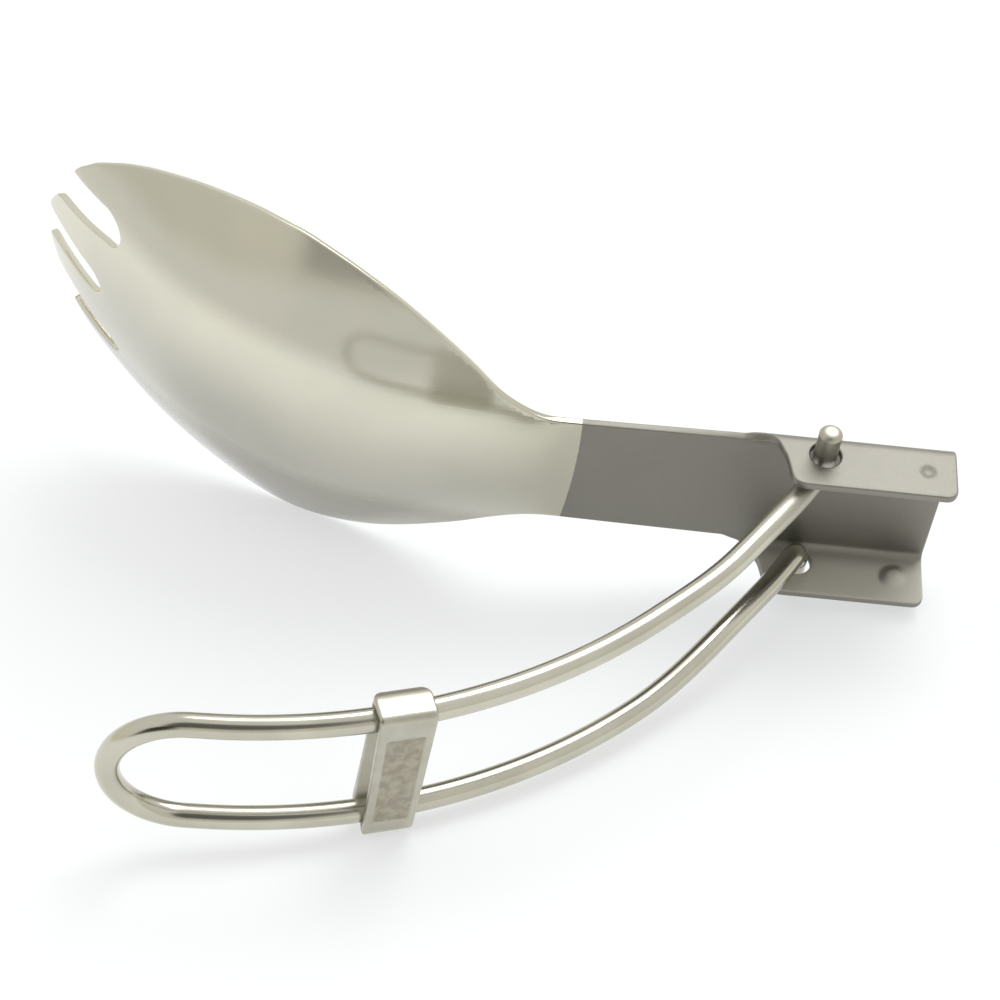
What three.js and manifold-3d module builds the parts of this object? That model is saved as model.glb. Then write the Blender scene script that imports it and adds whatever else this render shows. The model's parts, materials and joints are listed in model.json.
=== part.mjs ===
// A folding spork of thin sheet metal with a bent wire handle and a sliding collar.
// Lengths are millimetres and angles are degrees.
// The shapes are first drawn in the spork's own frame: the pivot is above the origin, the
// channel's open side and the back of the bowl face +Z, the bowl's tines point along -X and
// the pivot pins lie along Y. At the end all three pieces are laid on their side on the floor.

import * as THREE from 'three';
import { ConvexGeometry } from 'three/addons/geometries/ConvexGeometry.js';
import { toCreasedNormals } from 'three/addons/utils/BufferGeometryUtils.js';
import Module from 'manifold-3d';

const wasm = await Module();
wasm.setup();
const { Manifold } = wasm;

// Sheet of the spork body
const SHEET_THICKNESS = 0.9;
const BEND_RADIUS = 1.3;

// Channel that holds the wire, measured from the pivot
const CHANNEL_WIDTH = 19.2;
const CHANNEL_REAR_LENGTH = 13.9;
const CHANNEL_FRONT_LENGTH = 1.85;
const FLANGE_HEIGHT = 7.3;
const FLANGE_CORNER_RADIUS = 1.2;
const FLANGE_FRONT_RUN = 6.5;
const FLANGE_FRONT_RUN_SHARES = [0, 0.15, 0.31, 0.46, 0.54, 0.6, 0.66, 0.7, 0.74, 0.8, 0.88, 1];
const FLANGE_FRONT_RISE_SHARES = [0, 0.05, 0.1, 0.18, 0.26, 0.385, 0.51, 0.665, 0.84, 0.938, 0.98, 1];

// Neck between the channel and the bowl
const NECK_LENGTH = 17.35;
const NECK_BOWL_WIDTH = 15.75;
const NECK_CHANNEL_WIDTH = 16.5;

// Bowl, measured along the neck's direction from the end of the neck
const BOWL_LENGTH = 59.2;
const BOWL_WIDTH = 44;
const BOWL_DEPTH = 7.05;
const TIP_DROP = 29.4;
const BOWL_WIDEST_SHARE = 0.525;
const FLARE_RUN_SHARES = [0, 0.125, 0.25, 0.375, 0.5, 0.625, 0.75, 0.875, 1];
const FLARE_WIDTH_SHARES = [0, 0.0152, 0.1409, 0.3629, 0.562, 0.734, 0.8635, 0.9554, 1];
const NOSE_RUN_SHARES = [0, 0.15, 0.3, 0.45, 0.6, 0.72, 0.82, 0.9, 0.926, 0.953, 0.977, 0.993, 1];
const NOSE_WIDTH_SHARES = [
  1, 0.9914, 0.9548, 0.8913, 0.7976, 0.6906, 0.574, 0.42, 0.33, 0.235, 0.165, 0.105, 0.077,
];
const CENTRE_RUN_SHARES = [0, 0.07, 0.14, 0.21, 0.29, 0.38, 0.48, 0.58, 0.68, 0.78, 0.86, 0.93, 1, 1.07];
const CENTRE_DROP_SHARES = [
  0, -0.0247, -0.0213, -0.0088, 0.0034, 0.0258, 0.0751, 0.1549, 0.2653, 0.4228, 0.5939, 0.771, 1, 1.2791,
];
const HOLLOW_RUN_SHARES = [0, 0.07, 0.14, 0.23, 0.35, 0.525, 0.66, 0.78, 0.88, 1];
const HOLLOW_SHARES = [0, 0.8777, 0.9249, 0.9431, 0.9258, 1, 1.2317, 1.4564, 1.6172, 1.7165];

// Slots between the four tines
const CENTRE_SLOT_WIDTH = 3.2;
const CENTRE_SLOT_LENGTH = 7;
const CENTRE_SLOT_MOUTH = 4.1;
const SIDE_SLOT_END_WIDTH = 3.4;
const SIDE_SLOT_LENGTH = 9.2;
const SIDE_SLOT_END_OFFSET = 8.85;
const SIDE_SLOT_MOUTH_INNER = 4.5;
const SIDE_SLOT_MOUTH_OUTER = 9.3;
const CUT_OVERRUN = 1.4;

// Pivot holes and dimples of the two flanges
const PIVOT_HOLE_CLEARANCE = 0.8;
const PIVOT_HOLE_LIFT = 0.2;
const DIMPLE_DISTANCE = 10.8;
const DIMPLE_HEIGHT = 4.0;
const DIMPLE_BUMP_DIAMETER = 3.0;
const DIMPLE_BUMP_RISE = 0.35;
const DIMPLE_RECESS_DIAMETER = 2.2;
const DIMPLE_RECESS_DEPTH = 0.4;

// Wire handle, its lengths measured along the wire from the pivot
const WIRE_DIAMETER = 2.5;
const PIN_FLOOR_GAP = 0.75;
const WIRE_BUMP_GAP = 0.3;
const PIN_PROTRUSION = 3.6;
const PIN_BEVEL_LENGTH = 0.55;
const PIN_BEVEL_SHARES = [1, 0.45, 0];
const PIN_BEVEL_RADIUS_SHARES = [0.62, 0.86, 1];
const CORNER_BEND_RADIUS = 1.7;
const ARM_ROOT_LENGTH = 7;
const ARM_ROOT_ANGLE = 8;
const ARM_STRAIGHT_LENGTH = 8.4;
const ARM_BOW_RADIUS = 67.2;
const ARM_BOW_LENGTH = 60.6;
const ARM_TAIL_LENGTH = 1.6;
const ARM_SPREAD_START = 14.5;
const ARM_SPREAD_END = 28;
const HANDLE_LOOP_WIDTH = 15.9;
const HANDLE_ANGLE = 62;

// Sliding collar
const COLLAR_LENGTH = 5.5;
const COLLAR_WALL = 0.8;
const COLLAR_CLEARANCE = 0.3;
const COLLAR_SIDE_CLEARANCE = 0.5;
const COLLAR_SKEW = -2.5;
const COLLAR_POSITION = 57.5;
const COLLAR_EDGE = 0.25;
const COLLAR_CORNER_RADIUS = 1.6;
const COLLAR_PANEL_MARGIN = 0.7;
const COLLAR_PANEL_WIDTH = 14.5;
const COLLAR_PANEL_DEPTH = 0.2;

// Fineness of the facets
const FLOOR_COLUMNS = 7;
const BEND_COLUMNS = 4;
const FLANGE_COLUMNS = 2;
const NECK_ROWS = 5;
const CORNER_ROWS = 4;
const BOWL_ROWS = 44;
const ROUND_SIDES = 40;
const DIMPLE_STEPS = 5;
const WIRE_SIDES = 20;
const CORNER_STEPS = 8;
const ROOT_STEPS = 3;
const SPREAD_STEPS = 7;
const BOW_STEPS = 20;
const LOOP_STEPS = 12;
const COLLAR_STEPS = 12;
const COLLAR_EDGE_STEPS = 2;
const CREASE_ANGLE = 35;
const RESTING_TRIES = 4;
const NORMAL_STEP_SHARE = 0.01;
const GRID_PER_MM = 100000;

// Sizes that follow from the ones above
const halfSheet = SHEET_THICKNESS / 2;
const flangeMiddle = CHANNEL_WIDTH / 2 - halfSheet;
const flatHalf = flangeMiddle - BEND_RADIUS;
const bendLength = BEND_RADIUS * Math.PI / 2;
const fullReach = flatHalf + bendLength + FLANGE_HEIGHT - halfSheet - BEND_RADIUS;
const frontStart = -CHANNEL_FRONT_LENGTH - FLANGE_FRONT_RUN;
const neckEnd = frontStart - NECK_LENGTH;
const tip = neckEnd - BOWL_LENGTH;
const wireRadius = WIRE_DIAMETER / 2;
const pinHeight = SHEET_THICKNESS + PIN_FLOOR_GAP + wireRadius;
const holeRadius = (WIRE_DIAMETER + PIVOT_HOLE_CLEARANCE) / 2;
const holeHeight = pinHeight + PIVOT_HOLE_LIFT;
const pinReach = CHANNEL_WIDTH / 2 + PIN_PROTRUSION;
const armHalfNarrow = CHANNEL_WIDTH / 2 - SHEET_THICKNESS - DIMPLE_BUMP_RISE - WIRE_BUMP_GAP - wireRadius;
const armHalfWide = HANDLE_LOOP_WIDTH / 2;
const bowStart = ARM_ROOT_LENGTH + ARM_STRAIGHT_LENGTH;
const bowEnd = bowStart + ARM_BOW_LENGTH;
const armLength = bowEnd + ARM_TAIL_LENGTH;

// Smooth curve through a table, level at both of its ends
function tableValue(positions, values, at) {
  const last = positions.length - 1;
  if (at <= positions[0]) return values[0];
  if (at >= positions[last]) return values[last];
  const span = (k) => positions[k + 1] - positions[k];
  const slope = (k) => (values[k + 1] - values[k]) / span(k);
  const tangent = (k) => {
    if (k === 0 || k === last) return 0;
    return (slope(k - 1) * span(k) + slope(k) * span(k - 1)) / (span(k - 1) + span(k));
  };
  let k = 0;
  while (positions[k + 1] < at) k += 1;
  const u = (at - positions[k]) / span(k);
  const square = u * u;
  const cube = square * u;
  return values[k] * (2 * cube - 3 * square + 1) + values[k + 1] * (3 * square - 2 * cube)
    + span(k) * (tangent(k) * (cube - 2 * square + u) + tangent(k + 1) * (cube - square));
}

const bowlShare = (x) => THREE.MathUtils.clamp((neckEnd - x) / BOWL_LENGTH, 0, 1);

// Half width of the flat blank at a place along the spork
function blankReach(x) {
  const share = bowlShare(x);
  if (share > BOWL_WIDEST_SHARE) {
    const run = (share - BOWL_WIDEST_SHARE) / (1 - BOWL_WIDEST_SHARE);
    return BOWL_WIDTH / 2 * tableValue(NOSE_RUN_SHARES, NOSE_WIDTH_SHARES, run);
  }
  if (share > 0) {
    const flare = tableValue(FLARE_RUN_SHARES, FLARE_WIDTH_SHARES, share / BOWL_WIDEST_SHARE);
    return THREE.MathUtils.lerp(NECK_BOWL_WIDTH / 2, BOWL_WIDTH / 2, flare);
  }
  if (x < frontStart) {
    const along = (x - neckEnd) / NECK_LENGTH;
    return THREE.MathUtils.lerp(NECK_BOWL_WIDTH / 2, NECK_CHANNEL_WIDTH / 2, along);
  }
  const run = Math.min((x - frontStart) / FLANGE_FRONT_RUN, 1);
  const rise = tableValue(FLANGE_FRONT_RUN_SHARES, FLANGE_FRONT_RISE_SHARES, run);
  const reach = THREE.MathUtils.lerp(NECK_CHANNEL_WIDTH / 2, fullReach, rise);
  const intoCorner = Math.max(x - CHANNEL_REAR_LENGTH + FLANGE_CORNER_RADIUS, 0);
  const left = Math.sqrt(Math.max(FLANGE_CORNER_RADIUS ** 2 - intoCorner ** 2, 0));
  return reach - (FLANGE_CORNER_RADIUS - left);
}

// Place of a point of the blank's middle layer once the sheet is folded and pressed
function pressedPoint(x, reach) {
  const side = Math.sign(reach);
  const away = Math.abs(reach);
  const fold = THREE.MathUtils.clamp((x - neckEnd) / NECK_LENGTH, 0, 1);
  let foldedAway = away;
  let foldedUp = 0;
  if (away > flatHalf) {
    const turn = Math.min((away - flatHalf) / BEND_RADIUS, Math.PI / 2);
    foldedAway = flatHalf + BEND_RADIUS * Math.sin(turn);
    foldedUp = BEND_RADIUS * (1 - Math.cos(turn)) + Math.max(away - flatHalf - bendLength, 0);
  }
  const y = side * THREE.MathUtils.lerp(away, foldedAway, fold);
  const share = bowlShare(x);
  const centre = -TIP_DROP * tableValue(CENTRE_RUN_SHARES, CENTRE_DROP_SHARES, share);
  const hollow = BOWL_DEPTH * tableValue(HOLLOW_RUN_SHARES, HOLLOW_SHARES, share);
  const across = y / (BOWL_WIDTH / 2);
  return new THREE.Vector3(x, y, halfSheet + foldedUp * fold + centre - hollow * across * across);
}

// Direction across the sheet at a point of the blank
function sheetNormal(x, reach) {
  const step = SHEET_THICKNESS * NORMAL_STEP_SHARE;
  const along = pressedPoint(x + step, reach).sub(pressedPoint(x - step, reach));
  const across = pressedPoint(x, reach + step).sub(pressedPoint(x, reach - step));
  return along.cross(across).normalize();
}

// Places along the spork where the sheet gets a row of points
function rowPlaces() {
  const places = [];
  for (let k = 0; k <= CORNER_ROWS; k += 1) {
    const turn = Math.PI / 2 * (1 - k / CORNER_ROWS);
    places.push(CHANNEL_REAR_LENGTH - FLANGE_CORNER_RADIUS * (1 - Math.sin(turn)));
  }
  places.push(-CHANNEL_FRONT_LENGTH + DIMPLE_BUMP_DIAMETER);
  for (let k = FLANGE_FRONT_RUN_SHARES.length - 1; k >= 0; k -= 1) {
    places.push(frontStart + FLANGE_FRONT_RUN * FLANGE_FRONT_RUN_SHARES[k]);
    if (k > 0) {
      const middle = (FLANGE_FRONT_RUN_SHARES[k] + FLANGE_FRONT_RUN_SHARES[k - 1]) / 2;
      places.push(frontStart + FLANGE_FRONT_RUN * middle);
    }
  }
  for (let k = 1; k <= NECK_ROWS; k += 1) places.push(frontStart - NECK_LENGTH * k / NECK_ROWS);
  for (let k = 1; k <= BOWL_ROWS; k += 1) places.push(neckEnd - BOWL_LENGTH * k / BOWL_ROWS);
  return places;
}

// Distances from the middle line at which one row gets its points, on one side
function rowReaches(x) {
  const reach = blankReach(x);
  const columns = FLOOR_COLUMNS + BEND_COLUMNS + FLANGE_COLUMNS;
  const reaches = [];
  const even = THREE.MathUtils.smoothstep(bowlShare(x), 0, BOWL_WIDEST_SHARE / 2);
  for (let k = 0; k <= columns; k += 1) {
    let folded = Math.min(flatHalf, reach) * k / FLOOR_COLUMNS;
    if (k > FLOOR_COLUMNS) {
      const bent = bendLength * (k - FLOOR_COLUMNS) / BEND_COLUMNS;
      folded = Math.min(flatHalf + bent, reach);
    }
    if (k > FLOOR_COLUMNS + BEND_COLUMNS) {
      const rest = fullReach - flatHalf - bendLength;
      const step = (k - FLOOR_COLUMNS - BEND_COLUMNS) / FLANGE_COLUMNS;
      folded = Math.min(flatHalf + bendLength + rest * step, reach);
    }
    if (k === columns) folded = reach;
    reaches.push(THREE.MathUtils.lerp(folded, reach * k / columns, even));
  }
  return reaches;
}

// Closed body from a list of triangles, with equal corners joined
function solidFromTriangles(triangles) {
  const places = [];
  const numbers = new Map();
  const corners = [];
  const numberOf = (point) => {
    const key = point.toArray().map((value) => Math.round(value * GRID_PER_MM)).join(' ');
    if (!numbers.has(key)) {
      numbers.set(key, numbers.size);
      places.push(...point.toArray());
    }
    return numbers.get(key);
  };
  for (const triangle of triangles) {
    const [a, b, c] = triangle.map(numberOf);
    if (a !== b && b !== c && c !== a) corners.push(a, b, c);
  }
  const vertProperties = new Float32Array(places);
  const triVerts = new Uint32Array(corners);
  return new Manifold(new wasm.Mesh({ numProp: 3, vertProperties, triVerts }));
}

// Pressed sheet of even thickness over the whole blank
function sheetSolid() {
  const inner = [];
  const outer = [];
  for (const x of rowPlaces()) {
    const half = rowReaches(x);
    const reaches = [...half.slice(1).reverse().map((value) => -value), ...half];
    inner.push(reaches.map((reach) => {
      const shift = sheetNormal(x, reach).multiplyScalar(halfSheet);
      return pressedPoint(x, reach).add(shift);
    }));
    outer.push(reaches.map((reach) => {
      const shift = sheetNormal(x, reach).multiplyScalar(-halfSheet);
      return pressedPoint(x, reach).add(shift);
    }));
  }
  const triangles = [];
  const quad = (a, b, c, d) => triangles.push([a, b, c], [a, c, d]);
  const rows = inner.length;
  const points = inner[0].length;
  for (let i = 0; i + 1 < rows; i += 1) {
    for (let k = 0; k + 1 < points; k += 1) {
      quad(inner[i][k], inner[i][k + 1], inner[i + 1][k + 1], inner[i + 1][k]);
      quad(outer[i][k], outer[i + 1][k], outer[i + 1][k + 1], outer[i][k + 1]);
    }
    quad(inner[i][0], inner[i + 1][0], outer[i + 1][0], outer[i][0]);
    const k = points - 1;
    quad(inner[i][k], outer[i][k], outer[i + 1][k], inner[i + 1][k]);
  }
  for (let k = 0; k + 1 < points; k += 1) {
    const i = rows - 1;
    quad(inner[0][k], outer[0][k], outer[0][k + 1], inner[0][k + 1]);
    quad(inner[i][k], inner[i][k + 1], outer[i][k + 1], outer[i][k]);
  }
  return solidFromTriangles(triangles);
}

function solidFromGeometry(geometry) {
  const flat = geometry.index ? geometry.toNonIndexed() : geometry;
  const position = flat.getAttribute('position');
  const triangles = [];
  for (let k = 0; k < position.count; k += 3) {
    triangles.push([0, 1, 2].map((j) => new THREE.Vector3().fromBufferAttribute(position, k + j)));
  }
  return solidFromTriangles(triangles);
}

// Upright cutter for a slot that starts past the tine tips and has a round end
function slotCutter(length, endWidth, offset, mouthInner, mouthOuter) {
  const radius = endWidth / 2;
  const endCentre = tip + length - radius;
  const outline = new THREE.Shape();
  outline.moveTo(tip - CUT_OVERRUN, mouthInner);
  outline.lineTo(endCentre, offset - radius);
  outline.absarc(endCentre, offset, radius, -Math.PI / 2, Math.PI / 2, false);
  outline.lineTo(tip - CUT_OVERRUN, mouthOuter);
  const depth = 2 * (TIP_DROP + BOWL_DEPTH);
  const curveSegments = ROUND_SIDES / 2;
  const geometry = new THREE.ExtrudeGeometry(outline, { depth, curveSegments, bevelEnabled: false });
  return geometry.translate(0, 0, -depth / 2);
}

function centreSlot() {
  const half = CENTRE_SLOT_MOUTH / 2;
  return slotCutter(CENTRE_SLOT_LENGTH, CENTRE_SLOT_WIDTH, 0, -half, half);
}

function sideSlot() {
  const mouth = [SIDE_SLOT_MOUTH_INNER, SIDE_SLOT_MOUTH_OUTER];
  return slotCutter(SIDE_SLOT_LENGTH, SIDE_SLOT_END_WIDTH, SIDE_SLOT_END_OFFSET, ...mouth);
}

// Round cap along the pin direction, its root sunk into the sheet
function domeGeometry(diameter, rise) {
  const radius = diameter / 2;
  const ball = (radius * radius + rise * rise) / (2 * rise);
  const profile = [new THREE.Vector2(0, -halfSheet), new THREE.Vector2(radius, -halfSheet)];
  for (let k = 0; k <= DIMPLE_STEPS; k += 1) {
    const away = radius * (1 - k / DIMPLE_STEPS);
    profile.push(new THREE.Vector2(away, Math.sqrt(ball * ball - away * away) - ball + rise));
  }
  return new THREE.LatheGeometry(profile, ROUND_SIDES);
}

// Spork body: one pressed sheet with tines, neck and channel
function sporkBody() {
  let body = sheetSolid();
  const hole = new THREE.CylinderGeometry(holeRadius, holeRadius, 2 * CHANNEL_WIDTH, ROUND_SIDES);
  const turned = new THREE.Matrix4().makeRotationX(Math.PI);
  const cut = (geometry) => { body = body.subtract(solidFromGeometry(geometry)); };
  cut(hole.translate(0, 0, holeHeight));
  cut(centreSlot());
  for (const side of [1, -1]) {
    const facing = (geometry) => (side > 0 ? geometry : geometry.applyMatrix4(turned));
    cut(facing(sideSlot()));
    const bump = facing(domeGeometry(DIMPLE_BUMP_DIAMETER, DIMPLE_BUMP_RISE).rotateX(Math.PI));
    const innerFace = CHANNEL_WIDTH / 2 - SHEET_THICKNESS;
    body = body.add(solidFromGeometry(bump.translate(DIMPLE_DISTANCE, side * innerFace, DIMPLE_HEIGHT)));
    const recess = facing(domeGeometry(DIMPLE_RECESS_DIAMETER, DIMPLE_RECESS_DEPTH).rotateX(Math.PI));
    cut(recess.translate(DIMPLE_DISTANCE, side * CHANNEL_WIDTH / 2, DIMPLE_HEIGHT));
  }
  return body;
}

// Place, direction and half spacing of the arms at a distance along them from the pivot
function armAt(distance) {
  const root = THREE.MathUtils.degToRad(ARM_ROOT_ANGLE) / ARM_ROOT_LENGTH;
  const runs = [
    [ARM_ROOT_LENGTH, root],
    [ARM_STRAIGHT_LENGTH, 0],
    [ARM_BOW_LENGTH, 1 / ARM_BOW_RADIUS],
    [ARM_TAIL_LENGTH, 0],
  ];
  let angle = THREE.MathUtils.degToRad(HANDLE_ANGLE);
  let left = distance;
  const place = new THREE.Vector3(0, 0, pinHeight);
  for (const [length, bend] of runs) {
    const run = Math.min(left, length);
    const turn = run * bend;
    const chord = turn === 0 ? run : 2 * Math.sin(turn / 2) / bend;
    place.x -= chord * Math.cos(angle - turn / 2);
    place.z += chord * Math.sin(angle - turn / 2);
    angle -= turn;
    left -= run;
  }
  const spread = THREE.MathUtils.smoothstep(distance, ARM_SPREAD_START, ARM_SPREAD_END);
  return {
    place,
    along: new THREE.Vector3(-Math.cos(angle), 0, Math.sin(angle)),
    half: THREE.MathUtils.lerp(armHalfNarrow, armHalfWide, spread),
  };
}

// Middle line of half of the wire, from a pin's end to the far end of the loop
function halfWirePath() {
  const across = new THREE.Vector3(0, 1, 0);
  const points = [new THREE.Vector3(0, pinReach, pinHeight)];
  const start = armAt(0);
  const bendCentre = start.place.clone()
    .addScaledVector(across, start.half + CORNER_BEND_RADIUS)
    .addScaledVector(start.along, CORNER_BEND_RADIUS);
  for (let k = 0; k <= CORNER_STEPS; k += 1) {
    const turn = Math.PI / 2 * k / CORNER_STEPS;
    points.push(bendCentre.clone()
      .addScaledVector(start.along, -CORNER_BEND_RADIUS * Math.cos(turn))
      .addScaledVector(across, -CORNER_BEND_RADIUS * Math.sin(turn)));
  }
  const distances = [armLength];
  for (let k = 1; k <= ROOT_STEPS; k += 1) {
    distances.push(THREE.MathUtils.lerp(CORNER_BEND_RADIUS, ARM_ROOT_LENGTH, k / ROOT_STEPS));
  }
  for (let k = 0; k <= SPREAD_STEPS; k += 1) {
    distances.push(THREE.MathUtils.lerp(ARM_SPREAD_START, ARM_SPREAD_END, k / SPREAD_STEPS));
  }
  for (let k = 1; k <= BOW_STEPS; k += 1) {
    const distance = bowStart + ARM_BOW_LENGTH * k / BOW_STEPS;
    if (distance > ARM_SPREAD_END + wireRadius) distances.push(distance);
  }
  distances.sort((a, b) => a - b);
  for (const distance of distances) {
    const arm = armAt(distance);
    points.push(arm.place.addScaledVector(across, arm.half));
  }
  const end = armAt(armLength);
  for (let k = 1; k <= LOOP_STEPS; k += 1) {
    const turn = Math.PI / 2 * k / LOOP_STEPS;
    points.push(end.place.clone()
      .addScaledVector(across, armHalfWide * Math.cos(turn))
      .addScaledVector(end.along, armHalfWide * Math.sin(turn)));
  }
  return points;
}

// Path of straight steps, one from each point to the next
class SteppedPath extends THREE.Curve {
  constructor(points) {
    super();
    this.points = points;
    this.steps = points.length - 1;
  }

  getPointAt(share) {
    return this.points[Math.round(share * this.steps)].clone();
  }

  getTangentAt(share) {
    const k = Math.round(share * this.steps);
    const into = this.points[k].clone().sub(this.points[Math.max(k - 1, 0)]).normalize();
    const out = this.points[Math.min(k + 1, this.steps)].clone().sub(this.points[k]).normalize();
    return into.add(out).normalize();
  }
}

// Ring that takes the bevel off the end of a pin
function pinBevelCutter() {
  const start = pinReach - PIN_BEVEL_LENGTH;
  const end = pinReach + CUT_OVERRUN;
  const bevel = PIN_BEVEL_SHARES.map((share, k) => (
    new THREE.Vector2(wireRadius * PIN_BEVEL_RADIUS_SHARES[k], start + PIN_BEVEL_LENGTH * share)
  ));
  const profile = [
    bevel.at(-1),
    new THREE.Vector2(WIRE_DIAMETER, start),
    new THREE.Vector2(WIRE_DIAMETER, end),
    new THREE.Vector2(bevel[0].x, end),
    ...bevel,
  ];
  return new THREE.LatheGeometry(profile, ROUND_SIDES);
}

// Wire handle: one round wire bent to a long loop, its two ends turned outward as pins
function wireHandle() {
  const half = halfWirePath();
  const mirrored = half.slice(0, -1).reverse().map(({ x, y, z }) => new THREE.Vector3(x, -y, z));
  const extrudePath = new SteppedPath([...half, ...mirrored]);
  const section = new THREE.Shape().absarc(0, 0, wireRadius, 0, 2 * Math.PI, false);
  const { steps } = extrudePath;
  const curveSegments = WIRE_SIDES / 2;
  const rod = new THREE.ExtrudeGeometry(section, { steps, curveSegments, extrudePath });
  const bevel = pinBevelCutter();
  return solidFromGeometry(rod)
    .subtract(solidFromGeometry(bevel.clone().translate(0, 0, pinHeight)))
    .subtract(solidFromGeometry(bevel.rotateX(Math.PI).translate(0, 0, pinHeight)));
}

function roundedBar(target, halfWidth, halfThickness) {
  const straight = halfWidth - halfThickness;
  target.moveTo(-straight, -halfThickness);
  target.lineTo(straight, -halfThickness);
  target.absarc(straight, 0, halfThickness, -Math.PI / 2, Math.PI / 2, false);
  target.lineTo(-straight, halfThickness);
  target.absarc(-straight, 0, halfThickness, Math.PI / 2, 3 * Math.PI / 2, false);
  return target;
}

// Frame that takes the four corners off the collar's faces
function collarCornerCutter(halfWidth) {
  const halfLength = COLLAR_LENGTH / 2;
  const frame = new THREE.Shape();
  const [farX, farY] = [halfWidth + CUT_OVERRUN, halfLength + CUT_OVERRUN];
  frame.moveTo(-farX, -farY);
  frame.lineTo(farX, -farY);
  frame.lineTo(farX, farY);
  frame.lineTo(-farX, farY);
  const kept = new THREE.Path();
  const [x, y] = [halfWidth - COLLAR_CORNER_RADIUS, halfLength - COLLAR_CORNER_RADIUS];
  [[x, -y, -0.5], [x, y, 0], [-x, y, 0.5], [-x, -y, 1]].forEach(([atX, atY, start]) => {
    kept.absarc(atX, atY, COLLAR_CORNER_RADIUS, start * Math.PI, (start + 0.5) * Math.PI, false);
  });
  frame.holes.push(kept);
  const depth = 4 * halfWidth;
  const settings = { depth, curveSegments: COLLAR_STEPS, bevelEnabled: false };
  const geometry = new THREE.ExtrudeGeometry(frame, settings);
  return geometry.translate(0, 0, -depth / 2).rotateX(Math.PI / 2);
}

// Collar: a flat band around both arms, with a bare sunk panel on its outer face
function lockCollar() {
  const holeHalfThickness = wireRadius + COLLAR_CLEARANCE;
  const halfThickness = holeHalfThickness + COLLAR_WALL;
  const holeHalfWidth = armHalfWide + wireRadius + COLLAR_SIDE_CLEARANCE;
  const halfWidth = holeHalfWidth + COLLAR_WALL;
  const outline = roundedBar(new THREE.Shape(), halfWidth, halfThickness);
  outline.holes.push(roundedBar(new THREE.Path(), holeHalfWidth, holeHalfThickness));
  const geometry = new THREE.ExtrudeGeometry(outline, {
    depth: COLLAR_LENGTH - 2 * COLLAR_EDGE,
    bevelEnabled: true,
    bevelThickness: COLLAR_EDGE,
    bevelSize: COLLAR_EDGE,
    bevelOffset: -COLLAR_EDGE,
    bevelSegments: COLLAR_EDGE_STEPS,
    curveSegments: COLLAR_STEPS,
  });
  geometry.translate(0, 0, COLLAR_EDGE - COLLAR_LENGTH / 2);
  const panelLength = COLLAR_LENGTH - 2 * COLLAR_PANEL_MARGIN;
  const panel = new THREE.BoxGeometry(COLLAR_PANEL_WIDTH, 2 * COLLAR_PANEL_DEPTH, panelLength);
  panel.translate(0, halfThickness, 0);
  return solidFromGeometry(geometry)
    .subtract(solidFromGeometry(panel))
    .subtract(solidFromGeometry(collarCornerCutter(halfWidth)));
}

// Lay a piece drawn round the origin over both arms, a little askew
function seatOnArms(piece) {
  const arm = armAt(COLLAR_POSITION);
  const across = new THREE.Vector3(0, 1, 0);
  const outward = new THREE.Vector3().crossVectors(across, arm.along);
  const along = new THREE.Vector3().crossVectors(across, outward);
  const basis = new THREE.Matrix4().makeBasis(across, outward, along);
  piece.position.copy(arm.place);
  piece.quaternion.setFromRotationMatrix(basis);
  piece.rotateY(THREE.MathUtils.degToRad(COLLAR_SKEW));
}

function pieceOf(name, solid, color, roughness) {
  const mesh = solid.getMesh();
  const geometry = new THREE.BufferGeometry();
  geometry.setAttribute('position', new THREE.BufferAttribute(mesh.vertProperties, mesh.numProp));
  geometry.setIndex(new THREE.BufferAttribute(mesh.triVerts, 1));
  const creased = toCreasedNormals(geometry, THREE.MathUtils.degToRad(CREASE_ANGLE));
  const piece = new THREE.Mesh(creased, new THREE.MeshStandardMaterial({ color, roughness, metalness: 1 }));
  piece.name = name;
  return piece;
}

// Corners of every triangle of the pieces, three by three
function cornersOf(pieces) {
  return pieces.flatMap((piece) => {
    piece.updateMatrix();
    const position = piece.geometry.getAttribute('position').clone().applyMatrix4(piece.matrix);
    return Array.from({ length: position.count }, (_, k) => (
      new THREE.Vector3().fromBufferAttribute(position, k)
    ));
  });
}

// Centre of the material of pieces of one metal
function balancePoint(corners) {
  const sum = new THREE.Vector3();
  let volume = 0;
  for (let k = 0; k < corners.length; k += 3) {
    const [a, b, c] = corners.slice(k, k + 3);
    const share = a.dot(b.clone().cross(c)) / 6;
    volume += share;
    sum.addScaledVector(a.clone().add(b).add(c), share / 4);
  }
  return sum.divideScalar(volume);
}

// Upward direction when the pieces lie on their lower side, found on their common hull
function restingUp(pieces) {
  const corners = cornersOf(pieces);
  const balance = balancePoint(corners);
  const hull = new ConvexGeometry(corners).getAttribute('position');
  const corner = (k) => new THREE.Vector3().fromBufferAttribute(hull, k);
  const plane = new THREE.Plane();
  const up = new THREE.Vector3(0, 1, 0);
  for (let tries = 0; tries < RESTING_TRIES; tries += 1) {
    const ray = new THREE.Ray(balance, up.clone().negate());
    for (let k = 0; k < hull.count; k += 3) {
      const [a, b, c] = [corner(k), corner(k + 1), corner(k + 2)];
      if (ray.intersectTriangle(a, b, c, false, new THREE.Vector3())) plane.setFromCoplanarPoints(a, b, c);
    }
    up.copy(plane.normal).negate();
  }
  return up;
}

const pieces = [
  pieceOf('spork_body', sporkBody(), 0xb9b5aa, 0.38),
  pieceOf('wire_handle', wireHandle(), 0xc6c2b4, 0.22),
  pieceOf('lock_collar', lockCollar(), 0xb4af9e, 0.4),
];
seatOnArms(pieces[2]);

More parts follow.
